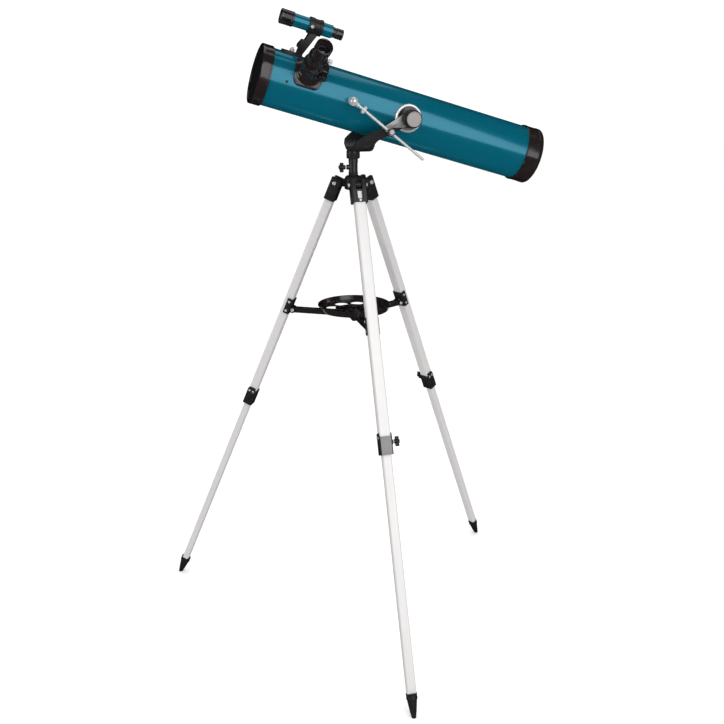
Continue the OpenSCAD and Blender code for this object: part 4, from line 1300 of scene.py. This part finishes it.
@dataclass
class ControlRod(Assembly):
    """The slow-motion rod. Its Z runs from the ball to the rod's bare end."""

    radius: float = 3.0
    length: float = 199.0
    ball: float = 9.5
    nut: float = 24.0
    reach: float = 103.0
    fork_face: float = 72.3
    rod_y: float = 80.0

    def build(self) -> None:
        """Builds and dresses the rod, its collar, the swivel block and the pad."""
        turns = [math.pi * i / 20 for i in range(19)]
        ball = [(math.sin(a) * self.ball, -math.cos(a) * self.ball) for a in turns]
        neck = near(self.radius, self.ball, (1.6, 1), (1.6, 4), (0, 5))
        rod = BENCH.turned("control_rod_shaft", [*ball, *neck, (self.radius, self.length - 0.8),
                (self.radius - 0.8, self.length), (0, self.length)], 48)
        self.hand_over(rod, "control_rod", Slot.CHROME, (CHROME,), ("rod",))
        low, high = self.nut, self.nut + 7
        grip = BENCH.ribbed("grip", 8.5, 0.55, 24, low + 1.6, high, 0.4)
        drill(grip, self.radius + FIT, low - 5, high + 5, sides=32)
        collar = BENCH.turned("collar", closed((self.radius + FIT, low), (5.4, low), (5.9, low + 0.5),
                (5.9, low + 1.7), (self.radius + FIT, low + 1.7)), 32)
        piece = BENCH.joined("knurled_collar", [grip, collar])
        self.hand_over(piece, "rod_collar", Slot.CHROME, (CHROME,), ("rod_nut",))
        self.swivel()
        dress_node("rod_anchor", CHROME)

    def swivel(self) -> None:
        """Makes the swivel block, its pin and its thumb screw, across the rod."""
        across = (0, 0, self.reach)
        back = self.fork_face - self.rod_y
        drum = BENCH.turned("swivel_drum", [(0, back), (8.2, back), (9.0, -7.0), (9.0, 6.6), (8.0, 8.0),
                (0, 8.0)], 48, Turn.AGAINST_Y, across)
        pin = BENCH.turned("pin", post(2.5, -12.4, -7), 24, Turn.AGAINST_Y, across)
        sleeves = [BENCH.turned("sleeve", closed((self.radius + FIT, low), (4.6, low), (5.2, low + 0.6),
                (5.2, high), (self.radius + FIT, high)), 32, Turn.UPRIGHT, across) for low,
                high in ((-8.9, -5), (5, 8.9))]
        drill(drum, self.radius + FIT, self.reach - 20, self.reach + 20, sides=32)
        drill(drum, 2.06, 4, 12, Turn.AGAINST_Y, across, 24)
        piece = BENCH.joined("swivel_block", [drum, pin])
        self.hand_over(piece, "swivel", Slot.PLASTIC, (GLOSSY,), ("rod_block",))
        piece = BENCH.joined("swivel_sleeves", sleeves)
        self.hand_over(piece, "swivel", Slot.CHROME, (CHROME,))
        stem = BENCH.turned("stem", post(2.0, 3.3, 9), 24, Turn.AGAINST_Y, across)
        grip = BENCH.ribbed("grip", 6.0, 0.5, 16, 8.5, 14.0, 0.4, Turn.AGAINST_Y, across)
        cap = BENCH.turned("cap", [(0, 13.8), (4.2, 13.8), (3.8, 14.4), (0, 14.5)], 24, Turn.AGAINST_Y,
                across)
        piece = BENCH.joined("swivel_thumb_screw", [stem, grip, cap])
        self.hand_over(piece, "swivel_screw", Slot.CHROME, (DULL_STEEL,), ("rod_block_screw",))


@dataclass
class Hub(Assembly):
    """The stand's head. Its origin is the column's foot."""

    hinge_z: float = 1050.0
    hinge_radius: float = 38.5
    radius: float = 20.0
    top: float = 16.0
    bottom: float = 14.0
    lug: float = 14.0
    spigot: float = 6.5
    spigot_top: float = 1109.0

    def build(self) -> None:
        """Builds and dresses the head with its lugs."""
        low, high = self.hinge_z - self.bottom, self.hinge_z + self.top
        body = BENCH.turned("stand_head", [(0, low), *near(self.radius, low, (-3, 0), (-1, 1), (0, 3)),
                *near(self.radius, high, (0, -6), (-0.8, -5.2), (-3, -0.9), (-4.2, 0)), (0, high)], 72)
        lug = BENCH.outline("lug", [(10, -8), *arc((self.hinge_radius, 0), 8, -90, 90, 14), (10, 8)],
                -self.lug / 2, self.lug / 2, Turn.AGAINST_Y, (0, 0, self.hinge_z))
        drill(lug, PIN_HOLE, -20, 20, Turn.ALONG_Y, (self.hinge_radius, 0, self.hinge_z), 24)
        BENCH.put(lug, spin(-90))
        for part in BENCH.round_copies(lug, 3):
            BENCH.carve(body, part, "UNION")
        BENCH.soften(body, 0.8, 40)
        spigot = BENCH.turned("spigot", [(0, high - 1), (self.spigot, high - 1),
                (self.spigot, self.spigot_top - 1), (self.spigot - 1, self.spigot_top),
                (0, self.spigot_top)], 40)
        piece = BENCH.joined("stand_head", [body, spigot])
        self.hand_over(piece, "stand", Slot.PLASTIC, (PLASTIC,), ("hub",))


@dataclass
class Leg(Assembly):
    """One leg, hanging from its hinge. Its Z runs up the leg and its X away from the column."""

    number: int = 1
    width: float = 25.0
    depth: float = 19.0
    wall: float = 1.4
    upper_end: float = 560.0
    total: float = 1143.2
    overlap: float = 60.0
    foot: float = 50.0
    tip: float = 5.0
    bracket: float = 36.0
    clamp_wall: float = 2.2
    clamp: float = 40.0
    grip: float = 6.0
    lock_drop: float = 7.0
    knob_stand: float = 6.0
    spreader_at: float = 320.0
    spreader_off: float = 17.5
    arm: float = 12.0
    arm_height: float = 13.0

    def build(self) -> None:
        """Builds and dresses every piece of the leg."""
        self.metal = Aluminium(f"satin_aluminium_{self.number}", self.place).make()
        self.plate = Aluminium(f"clamp_plate_{self.number}", self.place, (0.26, 0.255, 0.25)).make()
        self.profiles()
        self.head_bracket()
        self.spreader_bracket()
        self.extension_clamp()
        self.lock_knob()
        self.point()

    def named(self, name: str) -> str:
        """Adds the leg's number to a name."""
        return f"{name}_{self.number}"

    def extrusion(self, name: str, low: float, high: float, width: float, depth: float) -> Piece:
        """Makes a hollow leg profile with round corners.

        Args:
            name: Name of the piece.
            low: Height of its lower end.
            high: Height of its upper end.
            width: Size across the leg.
            depth: Size in the leg's own plane.

        Returns:
            The new piece.
        """
        outer = BENCH.outline(name, round_rect(depth, width, 3.0, 6), low, high)
        inner = BENCH.outline("bore", round_rect(depth - 2 * self.wall, width - 2 * self.wall, 1.6, 4),
                low - 5, high + 5)
        return BENCH.carve(outer, inner)

    def profiles(self) -> None:
        """Makes the upper and lower leg."""
        upper = self.extrusion(self.named("upper_profile"), -self.upper_end, -15.05, self.width, self.depth)
        self.hand_over(upper, f"leg_{self.number}", Slot.LEG, (self.metal,), (self.named("upper_leg"),), 40)
        width, depth = self.width - 2 * self.wall - 1.6, self.depth - 2 * self.wall - 1.6
        lower = self.extrusion(self.named("lower_profile"), -self.total + self.foot, -self.upper_end
                + self.overlap, width, depth)
        self.hand_over(lower, f"leg_extension_{self.number}", Slot.LEG, (self.metal,),
                (self.named("lower_leg"),), 40)

    def head_bracket(self) -> None:
        """Makes the hinge bracket with its window, and the bolt through it."""
        shell = BENCH.outline(self.named("hinge_bracket"), round_rect(24, self.bracket, 4, 5), -41, 11)
        window = BENCH.block("window", (40, 14.6, 60), (0, 0, 18), 0)
        BENCH.carve(shell, window)
        socket = BENCH.outline("socket", round_rect(self.depth + 0.1, self.width + 0.1, 3, 6), -50, -15)
        BENCH.carve(shell, socket)
        view = BENCH.block("view", (20, 10, 17), (12, 0, -24.5), 0)
        BENCH.carve(shell, view)
        drill(shell, PIN_HOLE, -30, 30, Turn.ALONG_Y, sides=24)
        BENCH.soften(shell, 0.9, 42)
        bolt = [(0, -22), (3.0, -22), (4.5, -21.2), (4.5, -18.4), (2.5, -18.4), (2.5, 20), (0, 20)]
        bolt_piece = BENCH.turned("bolt", bolt, 32, Turn.ALONG_Y)
        nut = BENCH.outline("nut", arc((0, 0), 4.5, 0, 300, 5), 18.3, 22.0, Turn.ALONG_Y)
        BENCH.soften(nut, 0.4, 30)
        self.hand_over(shell, f"leg_{self.number}", Slot.PLASTIC, (PLASTIC,))
        fixing = BENCH.joined(self.named("hinge_bolt"), [bolt_piece, nut])
        replaced = ("hinge_bolts",) if self.number == 1 else ()
        self.hand_over(fixing, "stand", Slot.CHROME, (CHROME,), replaced)
        stud = BENCH.turned(self.named("bracket_rivet"),
                [(0, 0), (3.2, 0), (3.0, 0.9), (1.8, 1.5), (0, 1.7)], 24, Turn.ALONG_X, (11.9, 0, -36.5))
        self.hand_over(stud, f"leg_{self.number}", Slot.CHROME, (CHROME,))

    def spreader_bracket(self) -> None:
        """Makes the bracket behind the leg that carries the spreader arm, with its pin and rivets."""
        low, high, rim = -13.0, 25.0, 1.5
        inner_face = -self.depth / 2
        sleeve = BENCH.outline(self.named("spreader_bracket"),
                round_rect(self.depth + 5, self.width + 5, 4, 5), low, high)
        BENCH.carve(sleeve, BENCH.block("trim", (30, 60, 80), (rim + 15, 0, 0), 0))
        for side in (-1, 1):
            middle = side * (self.arm / 2 + 2.3)
            ear = BENCH.outline("ear", [(7, -7), *arc((0, 0), 7, -90, -270, 12), (7, 7)], -2, 2,
                    Turn.AGAINST_Y, (-self.spreader_off, middle, 0))
            BENCH.carve(sleeve, ear, "UNION")
        BENCH.carve(sleeve, BENCH.outline("bore", round_rect(self.depth + 0.1, self.width + 0.1, 3, 6), -20,
                30))
        window = BENCH.block("window", (5, self.arm + 0.6, self.arm_height + 0.6), (inner_face - 1.5, 0, 0),
                0)
        BENCH.carve(sleeve, window)
        BENCH.soften(sleeve, 0.8, 42)
        BENCH.lay(sleeve, Turn.UPRIGHT, (0, 0, -self.spreader_at))
        self.hand_over(sleeve, f"leg_{self.number}", Slot.PLASTIC, (PLASTIC,), (self.named("leg_fittings"),))
        reach = self.arm / 2 + 4.3
        pin = BENCH.turned("pin", [*near(0, -reach, (0, -1.5), (3.2, -1.4), (4, -0.8), (4, -0.1),
                (2.5, -0.1)), *near(0, reach, (2.5, 0.1), (4, 0.1), (4, 0.8), (3.2, 1.4), (0, 1.5))], 24,
                Turn.ALONG_Y, (-self.spreader_off, 0, -self.spreader_at))
        rivets = [BENCH.turned("rivet", [(0, 0), (3.1, 0), (2.9, 0.8), (1.6, 1.3), (0, 1.4)], 24, turn,
                (-4.5, side * (self.width / 2 + 2.4), -self.spreader_at + height)) for side, turn in SIDES
                for height in (-6, 17)]
        piece = BENCH.joined(self.named("spreader_pin"), [pin, *rivets])
        self.hand_over(piece, f"leg_{self.number}", Slot.CHROME, (CHROME,))

    def extension_clamp(self) -> None:
        """Makes the clamp at the end of the upper leg, with its riveted ears."""
        top, wall = self.clamp / 2, self.clamp_wall
        middle_z = self.grip - top - self.upper_end
        body = BENCH.outline(self.named("extension_clamp"),
                round_rect(self.depth + 2 * wall, self.width + 2 * wall, 4, 5), -top, top)
        for side in (-1, 1):
            middle = side * (self.width / 2 + wall / 2 + 0.05)
            shape = near(0, top, (-8.5, -4), (8.5, -4), (8.5, 5), (6.5, 7), (-6.5, 7), (-8.5, 5))
            ear = BENCH.outline("ear", shape, -wall / 2 + 0.06, wall / 2 - 0.06, Turn.AGAINST_Y,
                    (0, middle, 0))
            BENCH.carve(body, ear, "UNION")
        boss = BENCH.turned("boss", [(0, 0), (6, 0), (6, 2.2), (5.4, 2.9), (0, 2.9)], 32, Turn.ALONG_Y,
                (0, self.width / 2 + wall - 0.2, top - self.grip - self.lock_drop))
        BENCH.carve(body, boss, "UNION")
        BENCH.carve(body, BENCH.outline("bore", round_rect(self.depth + 0.1, self.width + 0.1, 3, 6),
                top - self.grip - 0.05, 60))
        width, depth = self.width - 2 * self.wall - 1.5, self.depth - 2 * self.wall - 1.5
        BENCH.carve(body, BENCH.outline("bore", round_rect(depth, width, 3, 6), -40, top))
        drill(body, PIN_HOLE, 0, 30, Turn.ALONG_Y, (0, 0, top - self.grip - self.lock_drop), 24)
        BENCH.soften(body, 0.7, 42)
        for polygon in body.data.polygons:
            outside = polygon.normal.x > 0.95 and polygon.center.x > self.depth / 2 + wall - 0.2
            polygon.material_index = int(outside)
        BENCH.lay(body, Turn.UPRIGHT, (0, 0, middle_z))
        self.hand_over(body, f"leg_{self.number}", Slot.PLASTIC, (PLASTIC, self.plate),
                (self.named("clamp"),))
        rivets = [BENCH.turned("rivet", [(0, 0), (3.0, 0), (2.8, 0.8), (1.6, 1.3), (0, 1.4)], 24, turn,
                (x, side * (self.width / 2 + wall - 0.05), middle_z + 17)) for side, turn in SIDES
                for x in (-4.8, 4.8)]
        piece = BENCH.joined(self.named("clamp_rivets"), rivets)
        self.hand_over(piece, f"leg_{self.number}", Slot.CHROME, (CHROME,))

    def lock_knob(self) -> None:
        """Makes the winged knob that locks the lower leg, with its screw."""
        seat = self.width / 2 + self.clamp_wall + self.knob_stand
        spot = (0, 0, -self.upper_end - self.lock_drop)
        hub = BENCH.turned("hub", [(0, 0), (4.4, 0), (5, 0.8), (5, 10), (4.2, 11.6), (0, 12)], 32,
                Turn.ALONG_Y, (0, seat, 0))
        wing = BENCH.outline("wing", [(-2.1, 3), (2.1, 3), (2.2, 8.3), *arc((0, 8.6), 2.2, 0, 180, 8),
                (-2.2, 8.3)], seat + 2.2, seat + 10.8, Turn.ALONG_Y)
        BENCH.soften(wing, 0.8, 30)
        knob = BENCH.joined(self.named("leg_wing_knob"), [hub, *BENCH.round_copies(wing, 2, "Y")])
        BENCH.lay(knob, Turn.UPRIGHT, spot)
        self.hand_over(knob, f"leg_lock_{self.number}", Slot.PLASTIC, (PLASTIC,), (self.named("clamp_knob"),))
        stem = BENCH.turned(self.named("leg_lock_screw"), [(0, 10.8), (2.0, 10.8), (2.5, 11.3),
                (2.5, seat + 3), (0, seat + 3)], 24, Turn.ALONG_Y, spot)
        self.hand_over(stem, f"leg_lock_{self.number}", Slot.CHROME, (CHROME,))

    def point(self) -> None:
        """Makes the tapered foot, worn flat where it meets the floor."""
        tip, length = self.tip, self.foot
        profile = [(0, -3), (tip - 1.6, -3), (tip - 0.4, -1.6), (tip, 0.5), (6.4, 9), (6.9, 9.8),
                *near(0, length, (10.9, -13), (12, -12), (12, -7), (11.4, -6), (11.4, -4.6), (12, -3.6),
                (12, -0.7), (11.4, -0.05), (0, -0.05))]
        foot = BENCH.turned(self.named("pointed_foot"), profile, 48, Turn.UPRIGHT, (0, 0, -self.total))
        plug = BENCH.block("plug", (11.6, 17.6, 15), (0, 0, -self.total + length + 6), 0.6)
        piece = BENCH.joined(self.named("pointed_foot"), [foot, plug])
        BENCH.edit(piece)
        to_place = (self.place @ MILLIMETRES).inverted()
        floor = to_place @ Vector((0, 0, 0.0001))
        normal = (self.place.to_3x3().inverted() @ Vector((0, 0, 1))).normalized()
        bpy.ops.mesh.bisect(plane_co=floor, plane_no=normal, use_fill=True, clear_inner=True)
        BENCH.close()
        self.hand_over(piece, f"leg_extension_{self.number}", Slot.PLASTIC, (RUBBER,), (self.named("foot"),))


@dataclass
class SpreaderArm(Assembly):
    """One spreader arm. Its X runs away from the column and its origin is the pin at the leg."""

    number: int = 1
    length: float = 109.0
    width: float = 12.0
    height: float = 13.0

    def build(self) -> None:
        """Builds and dresses the arm: a bar with a pocket in each side."""
        half, end = self.height / 2, -self.length
        shape = [*arc((0, 0), half, -90, 90, 10), *arc((end, 0), half, 90, 270, 10)]
        bar = BENCH.outline(f"spreader_bar_{self.number}", shape, -self.width / 2, self.width / 2,
                Turn.AGAINST_Y)
        for side in (-1, 1):
            pocket = BENCH.block("pocket", (self.length - 26, 4, half + 1),
                    (end / 2, side * self.width / 2, 0), 0)
            BENCH.carve(bar, pocket)
        drill(bar, PIN_HOLE, -20, 20, Turn.ALONG_Y, sides=24)
        BENCH.soften(bar, 0.7, 42)
        pin = BENCH.turned("pin", [(0, -9), (1.7, -9), (2, -8.7), (2, 8.7), (1.7, 9), (0, 9)], 20,
                Turn.ALONG_Y, (end, 0, 0))
        piece = BENCH.joined(f"spreader_bar_{self.number}", [bar, pin])
        self.hand_over(piece, f"arm_{self.number}", Slot.PLASTIC, (PLASTIC,),
                (f"spreader_arm_{self.number}",))


@dataclass
class Tray(Assembly):
    """The accessory tray on the spreader plate. Its origin is the column's foot."""

    low: float = MOUNTS["tray_holes"]["pos_m"][2] * 1000 - 1.5
    radius: float = 84.0
    height: float = 14.0
    floor: float = 3.0
    holes: int = 8
    hole: float = 16.1
    ring: float = 50.0

    def build(self) -> None:
        """Builds and dresses the tray, the plate and the screw."""
        self.dish()
        self.screw()
        dress_node("spreader_plate", PLASTIC)

    def dish(self) -> None:
        """Makes the round dish with its ring of holes and its ribs."""
        low, top, r = self.low, self.low + self.height, self.radius
        profile = [(0, low + 0.6), *near(r, low, (-6.2, 0.6), (-5.6, 0), (-4.6, 0), (-3.9, 1.0)),
                *near(r, top, (-1.7, -3), (0, -2.6), (0, -0.7), (-0.8, 0), (-2.4, 0), (-3.1, -0.8)),
                (r - 5.4, low + self.floor + 1.2), (r - 6.6, low + self.floor), (0, low + self.floor)]
        dish = BENCH.turned("tray_dish", profile, 128)
        for i in range(self.holes):
            angle = 2 * math.pi * (i + 0.5) / self.holes
            spot = (self.ring * math.cos(angle), self.ring * math.sin(angle), 0)
            drill(dish, self.hole, low - 3, low + 8, Turn.UPRIGHT, spot, 48)
        drill(dish, 3.06, low - 3, low + 8, sides=24)
        ribs = []
        for radius in (13.0, 30.5, 69.0):
            ribs.append(BENCH.turned("rib", closed(*near(radius, low + self.floor, (0, -0.3), (0, 0.9),
                    (1.2, 0.9), (1.2, -0.3))), 96))
        spoke = BENCH.block("spoke", (6.5, 1.2, 1.2), (73.6, 0, low + self.floor + 0.3), 0.2)
        ribs += BENCH.round_copies(spoke, 2 * self.holes)
        piece = BENCH.joined("tray_dish", [dish, *ribs])
        self.hand_over(piece, "spreader", Slot.PLASTIC, (GLOSSY,), ("tray",))

    def screw(self) -> None:
        """Makes the screw that holds the tray."""
        base = self.low + self.floor + 0.3
        grip = BENCH.ribbed("grip", 8.5, 0.7, 16, base, base + 6.6, 0.5)
        cap = BENCH.turned("cap", near(0, base, (0, 6.4), (6.6, 6.4), (6.0, 7.6), (3.4, 8), (2.6, 7.4),
                (0, 7.4)), 32)
        piece = BENCH.joined("tray_knob_grip", [grip, cap])
        self.hand_over(piece, "tray_knob", Slot.PLASTIC, (PLASTIC,), ("tray_screw",))
        stem = BENCH.turned("tray_bolt", near(0, base, (0, -19), (2.2, -19), (3, -18), (3, 1), (0, 1)), 24)
        self.hand_over(stem, "tray_knob", Slot.CHROME, (CHROME,))


@dataclass
class Studio:
    """The pale sweep, the soft lights and the camera."""

    eye: tuple = (-0.5239, -2.0738, 1.3069)
    yaw: float = -14.662
    pitch: float = -17.564
    roll: float = -0.19
    lens: float = 47.07

    def build(self, column: Vector) -> None:
        """Sets the stage round the telescope.

        Args:
            column: The foot of the stand's column, in metres.
        """
        self.camera(column)
        self.sweep()
        self.lights(column)

    def camera(self, column: Vector) -> None:
        """Makes the camera and looks through it."""
        data = bpy.data.cameras.new("camera")
        data.lens, data.sensor_width = self.lens, 36.0
        eye = bpy.data.objects.new("camera", data)
        bpy.context.scene.collection.objects.link(eye)
        turn = spin(self.yaw) @ spin(90 + self.pitch, "X") @ spin(self.roll)
        eye.matrix_world = Matrix.Translation(column + Vector(self.eye)) @ turn
        bpy.context.scene.camera = eye

    def sweep(self) -> None:
        """Makes the flat floor."""
        BENCH.clear()
        bpy.ops.mesh.primitive_plane_add(size=24)
        floor = bpy.context.object
        floor.name = "floor"
        floor.data.materials.append(StudioFloor().make())
        floor.visible_glossy = False

    def lights(self, column: Vector) -> None:
        """Hangs the soft lights."""
        world = bpy.data.worlds.new("studio")
        bpy.context.scene.world = world
        world.use_nodes = True
        world.node_tree.nodes["Background"].inputs["Color"].default_value = (1.0, 0.995, 0.985, 1.0)
        world.node_tree.nodes["Background"].inputs["Strength"].default_value = 1.1
        world.cycles_visibility.glossy = False
        for name, spot, aim, size, power in (("front_softbox", (0.75, -2.8, 2.0), (0.1, 0.0, 1.15),
                (2.4, 3.0), 33), ("top_softbox", (0.2, 0.8, 3.6), (0.1, 0.0, 0.9), (2.6, 2.0), 9),
                ("left_softbox", (-3.4, -0.8, 1.6), (0.0, 0.0, 1.0), (1.2, 2.4), 14)):
            data = bpy.data.lights.new(name, "AREA")
            data.shape, data.size, data.size_y, data.energy = "RECTANGLE", size[0], size[1], power
            lamp = bpy.data.objects.new(name, data)
            lamp.visible_camera = False
            bpy.context.scene.collection.objects.link(lamp)
            start = column + Vector(spot)
            lamp.matrix_world = (Matrix.Translation(start)
                    @ (start - (column + Vector(aim))).to_track_quat("Z", "Y").to_matrix().to_4x4())


def column_foot() -> Vector:
    """Gives the foot of the stand's column, in metres."""
    spot = joint_at("azimuth")
    return Vector((spot.x, spot.y, 0.0))


def leg_place(number: int) -> Matrix:
    """Gives the place of a leg from its hinge."""
    hinge = "fold" if number == 1 else f"fold_{number}"
    up = joint_axis(f"extension_{number}")
    return place_at(joint_at(hinge), up, joint_axis(hinge).cross(up))


def main() -> None:
    """Builds the telescope and its stage."""
    logging.basicConfig(level=logging.INFO, format="%(message)s")
    tube = TELESCOPE_TUBE
    forward = Vector(MOUNTS["dust_cap_seat"]["axis"])
    altitude = joint_at("altitude")
    focus_origin = altitude + forward * (FOCUSER_Z / 1000)
    to_finder = joint_at("finder_focus") - altitude
    to_finder -= forward * to_finder.dot(forward)
    rod_axis = joint_axis("rod_collar_turn")
    column = Matrix.Translation(column_foot())
    assemblies = [OpticalTube(tube), Focuser(place_at(focus_origin, forward, joint_axis("focus"))),
            Finder(place_at(altitude, forward, to_finder)), Fork(column),
            ControlRod(place_at(joint_at("rod_collar_turn") - rod_axis * (ROD_START / 1000), rod_axis,
            Vector((0, 1, 0)).cross(rod_axis))), Hub(column), *(Leg(leg_place(k), k) for k in LEGS),
            *(SpreaderArm(place_at(joint_at(f"arm_{k}_swing"), Vector((0, 0, 1)),
            joint_axis(f"arm_{k}_swing").cross(Vector((0, 0, 1)))), k) for k in LEGS), Tray(column),]
    for assembly in assemblies:
        assembly.build()
    Studio().build(column_foot())
    bpy.context.scene.view_settings.view_transform = "Standard"


if __name__ == "__main__":
    main()
